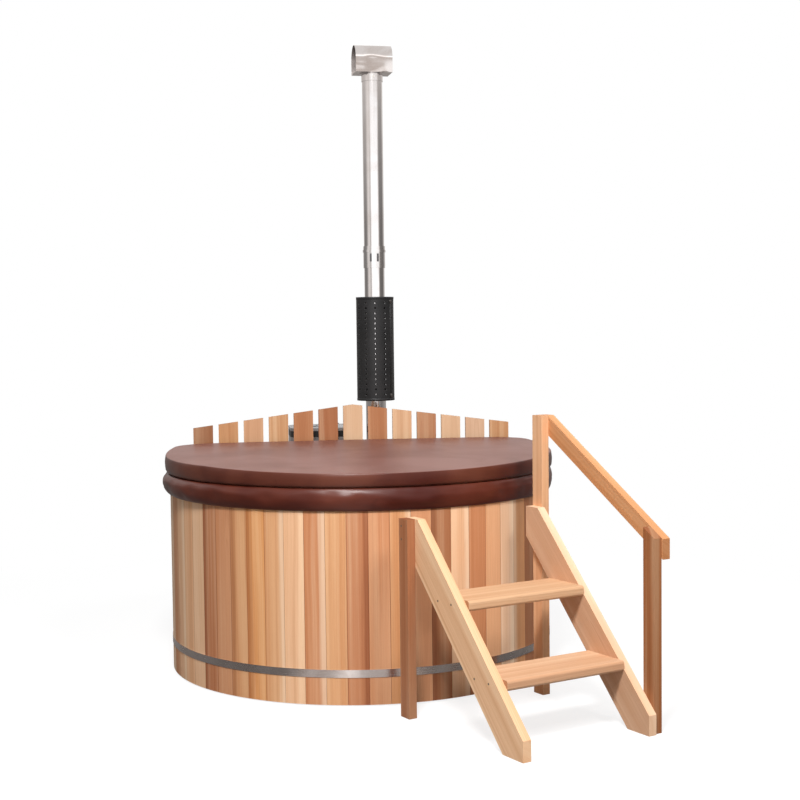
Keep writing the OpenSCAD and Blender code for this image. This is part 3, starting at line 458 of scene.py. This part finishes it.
# The nodes whose edges are eased, by how wide
EASED = {
    0.0011: ("staves_front", "staves_right", "staves_back", "staves_left"),
    0.002: ("floor_boards", "drain_board", "fence_slats", "fence_rails", "fence_cleats"),
    0.003: ("chime_joists", "bench_seats", "bench_legs"),
    0.004: ("post_left", "post_tall", "post_front", "handrail"),
    0.005: ("stringer_left", "stringer_right"),
}
for width, names in EASED.items():
    for name in names:
        bevel = nodes[name].modifiers.new("eased_edges", "BEVEL")
        bevel.width = width
        bevel.segments = 2
        bevel.limit_method = "ANGLE"
        bevel.angle_limit = math.radians(50)


# ---- Metal, plastic and paint

def steel_skin(s, colour, rough, stretch, wear=0.5, bump=0.05, dents=None):
    """Stainless steel with fine marks drawn out by stretch: its colour, roughness and normal. dents gives the
    three frequencies of the sheet's shallow waves and their depth."""
    marks = s.noise(s.stretched(stretch), 1.0, 4.0, 0.65)
    smear = s.noise(s.point, 6.0, 3.0, 0.6, 0.6)
    tint = s.shade(s.mul(s.span(smear, 0.45, 0.75), wear), linear(colour), "#D9CFC8")
    level = s.add(s.span(marks, 0.3, 0.7, rough * 0.75, rough * 1.25), s.span(smear, 0.5, 0.8, 0.0, 0.08))
    normal = s.bump(marks, bump, 0.0004)
    if dents:
        wave = s.noise(s.stretched(dents[:3]), 1.0, 1.0, 0.4)
        normal = s.bump(wave, 1.0, dents[3], normal)
    return tint, level, normal


def steel(name, colour, rough, stretch, **skin):
    """Plain stainless steel, with steel_skin's choices."""
    s = Shader(name)
    return s.surface(*steel_skin(s, colour, rough, stretch, **skin), metallic=1.0)


def slotted_steel():
    """The band at the pipe's joint. Its slots are darker and rougher inside: a painted shade in the recesses.
    """
    s = Shader("joint_steel")
    tint, level, normal = steel_skin(s, "#EFEDED", 0.14, (260, 260, 9))
    x, y, z = s.xyz(s.point)
    radius = s.hypot(s.sub(x, PIPE_AXIS[0]), s.sub(y, PIPE_AXIS[1]))
    inside = s.span(radius, PIPE_R + 0.0024, PIPE_R + 0.0034, 1.0, 0.0)
    # Painted shade: the recessed slots are darkened.
    tint = s.mix(s.mul(inside, 0.85), tint, linear("#3A3A3E"))
    return s.surface(tint, s.add(level, s.mul(inside, 0.3)), normal, metallic=1.0)


def hood_steel():
    """The cap's bent sheet, darker, rougher and less metallic where it faces inward."""
    s = Shader("hood_steel")
    tint, level, normal = steel_skin(s, "#DDD6D3", 0.11, (9, 260, 260), 0.8, 0.05, (6.0, 6.0, 11.0, 0.017))
    middle = sum(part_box("cap_barrel"), Vector()) / 2
    cross = Matrix.Rotation(HOOD_TURN, 3, "Z") @ Vector(Y)
    faces = s.node("ShaderNodeNewGeometry").outputs["Normal"]
    # Where the sheet faces away from the hood's middle plane this is above 0, and where it faces it, below
    outward = s.mul(s.sub(s.dot(s.point, tuple(cross)), cross.dot(middle)), s.dot(faces, tuple(cross)))
    inner_side = s.span(outward, -0.002, -0.012)
    patch = s.noise(s.point, 26.0, 4.0, 0.6)
    tint = s.mix(s.mul(inner_side, s.span(patch, 0.3, 0.7, 0.75, 0.95)), tint, linear("#6A615D"))
    shine = s.sub(1.0, s.mul(inner_side, 0.7))
    return s.surface(tint, s.add(level, s.mul(inner_side, 0.35)), normal, metallic=shine)


def cast_metal(name, colour, rough, metallic, grain=260.0):
    """Sand-cast metal: a fine pebbled skin with duller and darker patches."""
    s = Shader(name)
    skin = s.noise(s.point, grain, 4.0, 0.6)
    patch = s.noise(s.point, 7.0, 4.0, 0.6, 0.3)
    tint = s.shade(s.span(patch, 0.35, 0.75, 0.0, 0.6), linear(colour), "#A8A39C")
    height = s.add(skin, s.mul(patch, 0.5))
    level = s.add(s.span(skin, 0.3, 0.7, rough - 0.06, rough + 0.08), s.span(patch, 0.4, 0.8, 0.0, 0.1))
    return s.surface(tint, level, s.bump(height, 0.35, 0.0012), metallic=metallic)


def dark_screw():
    """Zinc-plated screws of the steps, dulled and browned in their sockets."""
    s = Shader("dark_screw")
    stain = s.noise(s.point, 900.0, 3.0, 0.6)
    tint = s.mix(s.span(stain, 0.35, 0.65), linear("#57493F"), linear("#8A7B6C"))
    return s.surface(tint, s.span(stain, 0.3, 0.7, 0.4, 0.6), s.bump(stain, 0.2, 0.0003), metallic=0.7)


def moulded(name, colour, rough):
    """Moulded plastic or enamel with a faint orange-peel skin and scuffs."""
    s = Shader(name)
    peel = s.noise(s.point, 420.0, 2.0, 0.5)
    scuff = s.noise(s.point, 30.0, 5.0, 0.7, 0.8)
    tint = s.shade(s.span(scuff, 0.55, 0.8, 0.0, 0.3), linear(colour), "#C9C0B4")
    return s.surface(tint, s.span(scuff, 0.4, 0.8, rough, rough + 0.2), s.bump(peel, 0.1, 0.0004))


dress(steel("pipe_steel", "#F0EDED", 0.10, (260, 260, 9), wear=0.35, dents=(26.0, 26.0, 1.6, 0.0012)),
      "pipe_lower", "pipe_upper", "cap_collar")
dress(hood_steel(), "cap_barrel")
dress(slotted_steel(), "pipe_joint")
dress(steel("hoop_steel", "#D8CECA", 0.22, (14, 14, 900), wear=0.8, bump=0.15), "hoop_lower", "hoop_upper",
      "hoop_lugs")
dress(steel("fastener_steel", "#B7B5B1", 0.28, (300, 300, 300)), "hoop_bolts", "fence_screws",
      "stove_anchors", "lid_hinge_pin", "damper_pin", "cap_rivets")
dress(cast_metal("stove_metal", "#B4B4B6", 0.42, 1.0), "stove_body", "stove_neck", "stove_feet",
      "stove_baffle", "loading_lid", "air_damper", "flue_collar")
dress(cast_metal("grate_iron", "#4B4745", 0.62, 0.9, 180.0), "stove_grate")
dress(cast_metal("black_paint", "#19191A", 0.46, 0.0, 500.0), "lid_seat", "lid_handle", "guard_brackets")
dress(dark_screw(), "step_screws", "rail_screws")
dress(moulded("drain_white", "#DDDDD8", 0.35), "drain_flange")
dress(moulded("drain_pipe_grey", "#C9CAC6", 0.38), "drain_pipe")
dress(steel("valve_metal", "#C9C3B4", 0.22, (120, 120, 120)), "drain_valve")
dress(steel("ball_metal", "#D5D3CE", 0.12, (200, 200, 200)), "valve_ball")
dress(moulded("lever_enamel", "#9E2C20", 0.32), "drain_lever")


# ---- Mesh helpers

def link(name, mesh, materials, body):
    """Puts a new piece into the scene, on a body and with its materials."""
    obj = bpy.data.objects.new(name, mesh)
    bpy.context.scene.collection.objects.link(obj)
    for material in materials:
        mesh.materials.append(material)
    for p in mesh.polygons:
        p.use_smooth = True
    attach(obj, body)
    return obj


def loft(name, rings, materials, body):
    """A closed skin over rings of points. Every ring has as many points as the last."""
    bm = bmesh.new()
    made = [[bm.verts.new(p) for p in ring] for ring in rings]
    n = len(made[0])
    for a, b in zip(made, made[1:]):
        for k in range(n):
            bm.faces.new((a[k], a[(k + 1) % n], b[(k + 1) % n], b[k]))
    bm.faces.new(made[0])
    bm.faces.new(made[-1])
    bmesh.ops.recalc_face_normals(bm, faces=bm.faces)
    mesh = bpy.data.meshes.new(name)
    bm.to_mesh(mesh)
    bm.free()
    return link(name, mesh, materials, body)


def swell(obj, held, pressure, give, cap, calm, frames=14):
    """Puffs a pad up with a cloth simulation. held tells which points stay, give is the share by which the
    cloth is longer than the pad, calm is how often the moves are evened out, and no point moves further than
    cap."""
    before = [v.co.copy() for v in obj.data.vertices]
    loose = [not held(co) for co in before]
    group = obj.vertex_groups.new(name="held")
    group.add([i for i, free in enumerate(loose) if not free], 1.0, "REPLACE")
    cloth = obj.modifiers.new("cloth", "CLOTH")
    vinyl_cloth = cloth.settings
    vinyl_cloth.quality = 5
    vinyl_cloth.mass = 0.3
    vinyl_cloth.tension_stiffness = vinyl_cloth.compression_stiffness = 12.0
    vinyl_cloth.bending_stiffness = 9.0
    vinyl_cloth.air_damping = 4.0
    vinyl_cloth.use_pressure = True
    vinyl_cloth.uniform_pressure_force = pressure
    vinyl_cloth.shrink_min = vinyl_cloth.shrink_max = -give
    vinyl_cloth.vertex_group_mass = group.name
    vinyl_cloth.pin_stiffness = 1.0
    vinyl_cloth.effector_weights.gravity = 0.0
    cloth.collision_settings.use_collision = False
    cloth.collision_settings.use_self_collision = False
    cloth.point_cache.frame_start, cloth.point_cache.frame_end = 1, frames
    scene = bpy.context.scene
    for f in range(1, frames + 1):
        scene.frame_set(f)
    shown = obj.evaluated_get(bpy.context.evaluated_depsgraph_get())
    after = [v.co.copy() for v in shown.to_mesh().vertices]
    shown.to_mesh_clear()
    obj.modifiers.remove(cloth)
    obj.vertex_groups.remove(group)
    scene.frame_set(1)
    moves = [b - a for a, b in zip(before, after)]
    beside = [[] for _ in before]
    for edge in obj.data.edges:
        i, j = edge.vertices
        beside[i].append(j)
        beside[j].append(i)
    for _ in range(calm):
        around = [sum((moves[j] for j in row), Vector()) / len(row) for row in beside]
        moves = [(own + mean) / 2 if free else own for own, mean, free in zip(moves, around, loose)]
    for v, a, move in zip(obj.data.vertices, before, moves):
        v.co = a + move * min(1.0, cap / max(move.length, 1e-9))
    obj.data.update()


# ---- Perforated heat guard in place of the plain sheet

guard_low, guard_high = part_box("heat_guard")
GUARD_R = (guard_high.x - guard_low.x) / 2
GUARD_AXIS = ((guard_low.x + guard_high.x) / 2, guard_low.y + GUARD_R)
GUARD_T = 0.0012
GUARD_IN = GUARD_R - 0.0015  # the sheet's inner radius
GUARD_FROM, GUARD_TO = -225, 45  # degrees from +X
GUARD_ROWS = 41
HOLE_R = 0.0052
HOLE_FIRST, HOLE_TURN = -95.6, 29.5  # a column of holes, and the degrees to the next
HOLE_CELL = HOLE_TURN / 4
HEM = 0.013
SEAM_AT, SEAM_ARC, TAB_ARC = -40.5, 6.8, 8.4  # degrees


def has_hole(angle, row):
    """Holes lie in every other row and every fourth cell, clear of the sheet's edges."""
    turns = (math.degrees(angle) - HOLE_FIRST) / HOLE_TURN
    in_column = abs(turns - round(turns)) < 0.01 and GUARD_FROM + 25 < math.degrees(angle) < GUARD_TO - 25
    return in_column and row % 2 == 0 and 1 < row < GUARD_ROWS - 2


def hole_sheet(angles):
    """The guard's sheet in cells between a list of angles, with round holes in some of them."""
    bm = bmesh.new()
    step_z = (guard_high.z - guard_low.z) / GUARD_ROWS
    corners, per_side = 4, 3
    count = corners * per_side

    def point(a, z):
        x, y = GUARD_AXIS[0] + GUARD_IN * math.cos(a), GUARD_AXIS[1] + GUARD_IN * math.sin(a)
        return bm.verts.new((x, y, z))

    grid = [[point(a, guard_low.z + j * step_z) for j in range(GUARD_ROWS + 1)] for a in angles]
    for i in range(len(angles) - 1):
        for j in range(GUARD_ROWS):
            cell = [grid[i][j], grid[i + 1][j], grid[i + 1][j + 1], grid[i][j + 1]]
            a_mid = (angles[i] + angles[i + 1]) / 2
            if not has_hole(a_mid, j):
                bm.faces.new(cell)
                continue
            z_mid = guard_low.z + (j + 0.5) * step_z
            rim = []
            for k in range(count):
                t = math.radians(-135 + 360 / count * k)
                rim.append(point(a_mid + HOLE_R * math.cos(t) / GUARD_IN, z_mid + HOLE_R * math.sin(t)))
            for q in range(corners):
                part = [rim[(per_side * q + k) % count] for k in range(per_side, -1, -1)]
                bm.faces.new([cell[q], cell[(q + 1) % corners]] + part)
    mesh = bpy.data.meshes.new("guard_sheet")
    bm.to_mesh(mesh)
    bm.free()
    return mesh


def guard_paint():
    """Black stove paint, a little greyer where the heat has dulled it."""
    s = Shader("guard_paint")
    skin = s.noise(s.point, 700.0, 3.0, 0.6)
    fade = s.noise(s.point, 9.0, 3.0, 0.5)
    tint = s.mix(s.span(fade, 0.35, 0.7), linear("#141415"), linear("#232223"))
    return s.surface(tint, s.span(skin, 0.3, 0.7, 0.42, 0.54), s.bump(skin, 0.2, 0.0004), specular=0.4)


paint = guard_paint()
cell_edges = [HOLE_FIRST + (k - 0.5) * HOLE_CELL for k in range(-20, 22)]
cell_edges = [GUARD_FROM] + [a for a in cell_edges if GUARD_FROM + 3 < a < GUARD_TO - 3] + [GUARD_TO]
guard = link("guard_sheet", hole_sheet([math.radians(a) for a in cell_edges]), [paint], "tub")
thick = guard.modifiers.new("sheet", "SOLIDIFY")
thick.thickness = GUARD_T
thick.offset = 1.0
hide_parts("heat_guard")


def guard_strip(name, height, proud, start, arc, z, count=6):
    """A strip round the guard that stands proud of its sheet. start and arc are in degrees."""
    inside, soft = -0.0014, 0.0006
    section = [
        (inside, 0.0), (proud - soft, 0.0), (proud, soft),
        (proud, height - soft), (proud - soft, height), (inside, height),
    ]
    rings = []
    for i in range(count + 1):
        a = math.radians(start + arc * i / count)
        out = Vector((math.cos(a), math.sin(a), 0))
        foot = Vector((*GUARD_AXIS, z)) + out * (GUARD_R - GUARD_T)
        rings.append([foot + out * p + Vector((0, 0, q)) for p, q in section])
    return loft(name, rings, [paint], "tub")


for word, z in (("low", guard_low.z), ("high", guard_high.z - HEM)):
    guard_strip("guard_hem_" + word, HEM, 0.0016, GUARD_FROM, GUARD_TO - GUARD_FROM, z, 96)
tab_steel = steel("tab_steel", "#6B6764", 0.42, (300, 300, 300))
seam_h = guard_high.z - guard_low.z - 2 * HEM
guard_strip("guard_seam", seam_h, 0.0018, SEAM_AT - SEAM_ARC / 2, SEAM_ARC, guard_low.z + HEM)
for word, z in (("low", guard_low.z + HEM + 0.004), ("high", guard_high.z - HEM - 0.022)):
    tab = guard_strip("guard_tab_" + word, 0.018, 0.0036, SEAM_AT - TAB_ARC / 2, TAB_ARC, z)
    tab.data.materials.clear()
    tab.data.materials.append(tab_steel)


# ---- Padded cover in place of the soft solids

def vinyl(name, colour, deep, specular, rough):
    """Coated cloth with a fine leather grain, soft creases and patches of wear."""
    s = Shader(name)
    cells = s.node("ShaderNodeTexVoronoi", {"Vector": s.point, "Scale": 620.0}, feature="F1")
    pebble = cells.outputs["Distance"]
    crease = s.noise(s.point, 24.0, 5.0, 0.62, 0.7)
    broad = s.noise(s.point, 3.2, 2.0, 0.5, 0.3)
    tint = s.mix(s.span(broad, 0.38, 0.66), linear(colour), linear(deep))
    tint = s.shade(s.span(crease, 0.58, 0.76, 0.0, 0.3), tint, "#B8917F")
    height = s.add(s.mul(pebble, 0.3), s.mul(crease, 0.9))
    level = s.add(s.span(pebble, 0.0, 0.7, rough - 0.03, rough + 0.05), s.span(broad, 0.4, 0.7, 0.0, 0.05))
    return s.surface(tint, level, s.bump(height, 0.2, 0.0016), specular=specular)


# The top's vinyl is lighter than the sides': painted light and sheen from above on the same vinyl.
lit_top_vinyl = vinyl("cover_top_vinyl", "#794B40", "#6C4035", 0.38, 0.36)
edge_vinyl = vinyl("cover_edge_vinyl", "#603224", "#461B12", 0.28, 0.30)
side_vinyl = vinyl("cover_side_vinyl", "#5A281B", "#43170F", 0.27, 0.30)

lid_low, lid_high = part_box("cover_lid")
LID_R = (lid_high.x - lid_low.x) / 2
LID_BACK = lid_high.y
LID_Z = lid_low.z
LID_SHIFT = -0.003  # the lid lies this far to the left, as in the photograph
FRONT_T = 0.061
TAPER = math.tan(math.radians(1.98))
SKIRT_IN = 0.9189  # the skirt's inner radius, close round the staves and hoop
SKIRT_MID = (0.927, -0.05)  # radius and height of the roll's middle, below the groove under the lid
SKIRT_H = 0.102  # the height that its section is drawn at
FENCE_GAP = 0.060  # from the lid's back edge to the skirt's ends


def wave_at(x, y, z):
    """Smooth noise from -1 to 1, the same each run."""
    return noise.noise(Vector((x, y, z)))


def lid_outline(corner=0.05, arc_n=150, corner_n=10, back_n=50):
    """The lid's edge seen from above, as (x, y, out_x, out_y): the round front, then the straight back
    between its two round corners."""
    cy = LID_BACK - corner
    cx = math.sqrt((LID_R - corner) ** 2 - cy ** 2)
    a_end = math.atan2(cy, cx)
    turn = math.pi / 2 - a_end

    def arc(x, y, radius, start, sweep, count):
        turned = [start + sweep * i / count for i in range(count)]
        outward = [(math.cos(a), math.sin(a)) for a in turned]
        return [(x + radius * ox, y + radius * oy, ox, oy) for ox, oy in outward]

    front = arc(0.0, 0.0, LID_R, math.pi - a_end, math.pi + 2 * a_end, arc_n)
    back = [(cx - 2 * cx * i / back_n, LID_BACK, 0.0, 1.0) for i in range(back_n)]
    return (front + arc(cx, cy, corner, a_end, turn, corner_n) + back
            + arc(-cx, cy, corner, math.pi / 2, turn, corner_n))


def top_height(x, y):
    """Height of the lid's upper surface over its underside."""
    r = math.hypot(x, y) / LID_R
    crown = 0.003 * max(0.0, 1 - r * r)
    ripple = 0.0008 * wave_at(x * 2.2, y * 2.2, 3.1) + 0.0003 * wave_at(x * 8, y * 8, 7.7)
    droop = 0.0125 * min(1.0, max(0.0, (abs(x) / LID_R - 0.8) / 0.2)) ** 1.4  # at the left and right ends
    return FRONT_T + (y + LID_R) * TAPER + crown + ripple - droop


def make_lid():
    """The padded lid, a closed form lofted from its underside round its edge to the middle of its top."""
    outline = lid_outline()
    # How far inward, and a height that is added to a share of the full height
    profile = [(0.060, 0.0, 0.0), (0.012, 0.0, 0.0), (0.005, 0.0012, 0.0), (0.0012, 0.005, 0.0)]
    profile += [(-0.0026 * math.sin(math.pi * t), 0.0, t) for t in (0.14, 0.28, 0.42, 0.56, 0.70, 0.84)]
    profile += [(0.0, -0.0052, 1.0), (0.0004, -0.0030, 1.0), (0.0016, -0.0011, 1.0), (0.0036, -0.0002, 1.0),
                (0.0075, 0.0, 1.0)]
    rings = []
    for inward, height, share in profile:
        ring = []
        for x, y, ox, oy in outline:
            z = height + share * top_height(x, y)
            wave = 0.0
            if 0.0 < share < 1.0:
                wave = 0.0012 * wave_at(x * 6, y * 6, z * 16) + 0.0007 * wave_at(x * 18, y * 18, z * 50 + 5)
            d = wave - inward
            ring.append((x + ox * d + LID_SHIFT, y + oy * d, LID_Z + z))
        rings.append(ring)
    centre = Vector((0.0, -0.28))
    for share in (0.985, 0.96, 0.92, 0.86, 0.78, 0.68, 0.56, 0.43, 0.30, 0.17, 0.06):
        ring = []
        for x, y, ox, oy in outline:
            px, py = centre.x + (x - centre.x) * share, centre.y + (y - centre.y) * share
            ring.append((px + LID_SHIFT, py, LID_Z + top_height(px, py)))
        rings.append(ring)
    lid = loft("cover_lid_padded", rings, [lit_top_vinyl, edge_vinyl], "cover")
    # Faces that look up take the lighter top vinyl, with its painted light.
    for p in lid.data.polygons:
        p.material_index = 0 if p.normal.z > 0.6 else 1
    return lid


def lid_held(p):
    """The underside and the top keep their shape."""
    return p.z < LID_Z + 0.006 or p.z > LID_Z + top_height(p.x, p.y) - 0.002


lid = make_lid()
swell(lid, lid_held, pressure=1.5, give=0.006, cap=0.003, calm=10)
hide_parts("cover_lid")


def make_skirt():
    """The padded roll that hangs round the rim. It stands out more on the left than on the right."""
    low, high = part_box("cover_skirt")
    top, bottom = high.z - 0.0004, low.z
    lap = math.asin((LID_BACK - FENCE_GAP) / 0.925)
    start, sweep = math.pi - lap, math.pi + 2 * lap
    # Radius and height of the roll, from the groove under the lid down to the hem and up inside
    section = [
        (0.9195, -0.0008), (0.9228, -0.0014), (0.9260, -0.0038), (0.9290, -0.0078), (0.9314, -0.0130),
        (0.9334, -0.0192), (0.9348, -0.0262), (0.9357, -0.0340), (0.9360, -0.0425), (0.9358, -0.0515),
        (0.9352, -0.0605), (0.9341, -0.0695), (0.9324, -0.0780), (0.9298, -0.0862), (0.9264, -0.0934),
        (0.9228, -0.0982), (0.9200, -0.1000), (SKIRT_IN, -0.0975), (SKIRT_IN, -0.080), (SKIRT_IN, -0.050),
        (SKIRT_IN, -0.020), (SKIRT_IN + 0.0004, -0.004),
    ]
    scale = (top - bottom) / SKIRT_H
    mid_r, mid_h = SKIRT_MID
    count = 300
    rings = []
    for i in range(count + 1):
        from_end = min(i, count - i)
        a = start + sweep * i / count
        w = a * 0.93
        # The roll closes towards its two ends
        close = 0.6 + 0.4 * math.sin(min(1.0, from_end / 5.0) * math.pi / 2)
        lean = -0.0095 * math.cos(a)
        ring = []
        for r, h in section:
            out = min(1.0, max(0.0, (r - SKIRT_IN) / 0.0165))
            puff = 0.0055 * wave_at(w * 2.3, h * 9, 1.5) + 0.0022 * wave_at(w * 7.0, h * 34 + w * 2.0, 4.2)
            # Shallow creases that lie along the roll and run out
            crease = math.exp(-(wave_at(w * 1.3 + h * 6, h * 38, 9.0) / 0.09) ** 2)
            fold = 0.0045 * crease * max(0.0, wave_at(w * 1.6, 5.0, 2.0) + 0.25)
            radius = r + out * (puff - fold + lean)
            height = h * scale + out * 0.0018 * wave_at(w * 4, 2.0, 8.0)
            radius = max(mid_r + (radius - mid_r) * close, SKIRT_IN)
            height = mid_h + (height - mid_h) * (0.9 + 0.1 * close)
            ring.append((radius * math.cos(a), radius * math.sin(a), top + min(height, 0.0)))
        rings.append(ring)
    return loft("cover_skirt_padded", rings, [side_vinyl], "cover")


def skirt_held(p):
    """The inner wall lies on the staves."""
    return math.hypot(p.x, p.y) < SKIRT_IN + 0.0016


skirt = make_skirt()
swell(skirt, skirt_held, pressure=2.5, give=0.014, cap=0.006, calm=14)
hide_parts("cover_skirt")


# ---- Floor, light and background

AMBIENT = 0.255
FLOOR_SIZE = 40.0
FLOOR_FADE = (1.9, 3.6)  # where the camera sees the floor turn white, from the origin
# What a shiny surface sees round the horizon: a white wall in front and darker studio walls at the sides.
# Degrees from the front, positive to the right, with the grey there near the horizon and higher up.
STUDIO = [
    (-180, 0.50, 0.62), (-148, 0.44, 0.60), (-138, 0.18, 0.50), (-94, 0.23, 0.52), (-80, 0.66, 0.73),
    (-60, 0.86, 0.88), (-50, 0.50, 0.80), (-40, 0.62, 0.90), (-30, 1.30, 1.15), (42, 1.30, 1.15),
    (52, 0.55, 0.80), (62, 0.17, 0.36), (110, 0.16, 0.34), (122, 0.48, 0.62), (150, 0.62, 0.76),
    (180, 0.56, 0.70),
]
# The same for the floor, by where on it the reflected point lies. The dim stretch from 20° on, where the
# steps stand, is a painted shadow of the steps, and the bright one from -13° to -9° a painted highlight.
FLOOR_LEVELS = [
    (-180, 0.34), (-60, 0.17), (-34, 0.20), (-29, 0.54), (-16, 0.58), (-13, 1.30), (-9, 1.30), (-6, 0.56),
    (14, 0.54), (20, 0.22), (60, 0.16), (110, 0.34), (180, 0.34),
]


def by_azimuth(s, x, y, rows, k):
    """The grey of a list at a direction, from column k."""
    around = s.add(s.mul(s.math("ARCTAN2", x, s.mul(y, -1.0)), 0.5 / math.pi), 0.5)
    return s.ramp(around, [((row[0] + 180) / 360, warm(row[k])) for row in rows])


def glow(s, colour, strength=1.0):
    """A shader that gives light and takes none."""
    return s.node("ShaderNodeEmission", {"Color": colour, "Strength": strength}).outputs[0]


def matt(s, colour):
    """A shader that scatters light evenly."""
    return s.node("ShaderNodeBsdfDiffuse", {"Color": colour}).outputs[0]


def blended(s, factor, a, b):
    """One shader turning into another."""
    return s.node("ShaderNodeMixShader", {0: factor, 1: a, 2: b}).outputs[0]


def seen_plainly(s, path):
    """1 for what the camera sees, also through glass."""
    return s.math("MAXIMUM", path.outputs["Is Camera Ray"], path.outputs["Is Transmission Ray"])


def make_floor():
    """A pale floor that keeps the shadow. The camera sees it turn white further out, and what shines mirrors
    it as part of the studio."""
    mesh = bpy.data.meshes.new("floor")
    mesh.from_pydata([(x * FLOOR_SIZE, y * FLOOR_SIZE, 0) for x, y in ((-1, -1), (1, -1), (1, 1), (-1, 1))],
                     [], [(0, 1, 2, 3)])
    floor = bpy.data.objects.new("floor", mesh)
    bpy.context.scene.collection.objects.link(floor)
    floor.location.z = -0.0005  # just under what stands on it
    s = Shader("pale_floor")
    path = s.node("ShaderNodeLightPath")
    x, y, z = s.xyz(s.point)
    plain = matt(s, s.mix(s.noise(s.point, 3.0, 2.0, 0.5), grey(0.34), grey(0.37)))
    near = s.node("ShaderNodeAddShader", {0: matt(s, grey(0.24)), 1: glow(s, WHITE, 0.80)}).outputs[0]
    view = blended(s, s.span(s.hypot(x, y), *FLOOR_FADE), near, glow(s, WHITE))
    # Shiny surfaces see the floor glow with these greys, its painted shadow of the steps and painted
    # highlight included.
    mirrored = glow(s, by_azimuth(s, x, y, FLOOR_LEVELS, 1))
    unseen = blended(s, path.outputs["Is Glossy Ray"], plain, mirrored)
    both = blended(s, seen_plainly(s, path), unseen, view)
    s.tree.links.new(both, s.output().inputs["Surface"])
    mesh.materials.append(s.mat)


def make_world():
    """White for the camera, an even grey light, and a studio for what shines."""
    world = bpy.data.worlds.new("studio")
    bpy.context.scene.world = world
    world.use_nodes = True
    s = Shader("studio", world.node_tree)
    path = s.node("ShaderNodeLightPath")
    x, y, z = s.xyz(s.node("ShaderNodeTexCoord").outputs["Generated"])
    level, raised = (by_azimuth(s, x, y, STUDIO, k) for k in (1, 2))
    # From the horizon up: the walls, a pale panel, a bright strip of lamps and the ceiling
    panel = s.mul(s.span(z, 0.160, 0.174), s.span(z, 0.40, 0.33))
    strip = s.mul(s.span(z, 0.38, 0.43), s.span(z, 0.58, 0.50))
    reflected = s.mix(s.span(z, 0.06, 0.15), level, raised)
    reflected = s.mix(panel, reflected, linear("#DFD9D5"))
    reflected = s.mix(s.span(z, 0.45, 0.75), reflected, grey(0.90))
    reflected = s.mix(strip, reflected, grey(1.8))
    colour = s.mix(path.outputs["Is Glossy Ray"], grey(AMBIENT), reflected)
    colour = s.mix(seen_plainly(s, path), colour, WHITE)
    back = s.node("ShaderNodeBackground", {"Color": colour, "Strength": 1.0})
    s.tree.links.new(back.outputs[0], s.output("ShaderNodeOutputWorld").inputs["Surface"])


def softbox(name, location, target, size, power, shows=False):
    """A square area lamp. shows lets shiny surfaces mirror it."""
    data = bpy.data.lights.new(name, "AREA")
    data.shape = "SQUARE"
    data.size = size
    data.energy = power
    lamp = bpy.data.objects.new(name, data)
    bpy.context.scene.collection.objects.link(lamp)
    lamp.location = location
    lamp.rotation_mode = "QUATERNION"
    lamp.rotation_quaternion = (Vector(target) - Vector(location)).to_track_quat("-Z", "Y")
    lamp.visible_glossy = shows


make_floor()
make_world()
softbox("left_softbox", (-0.9, -4.7, 5.4), (0.1, -0.6, 0.6), 1.1, 400, True)
softbox("right_softbox", (2.3, -4.7, 5.2), (0.0, -0.4, 0.6), 1.3, 165)
softbox("back_softbox", (1.2, 6.0, 2.8), (0.0, 0.0, 0.5), 3.0, 120)
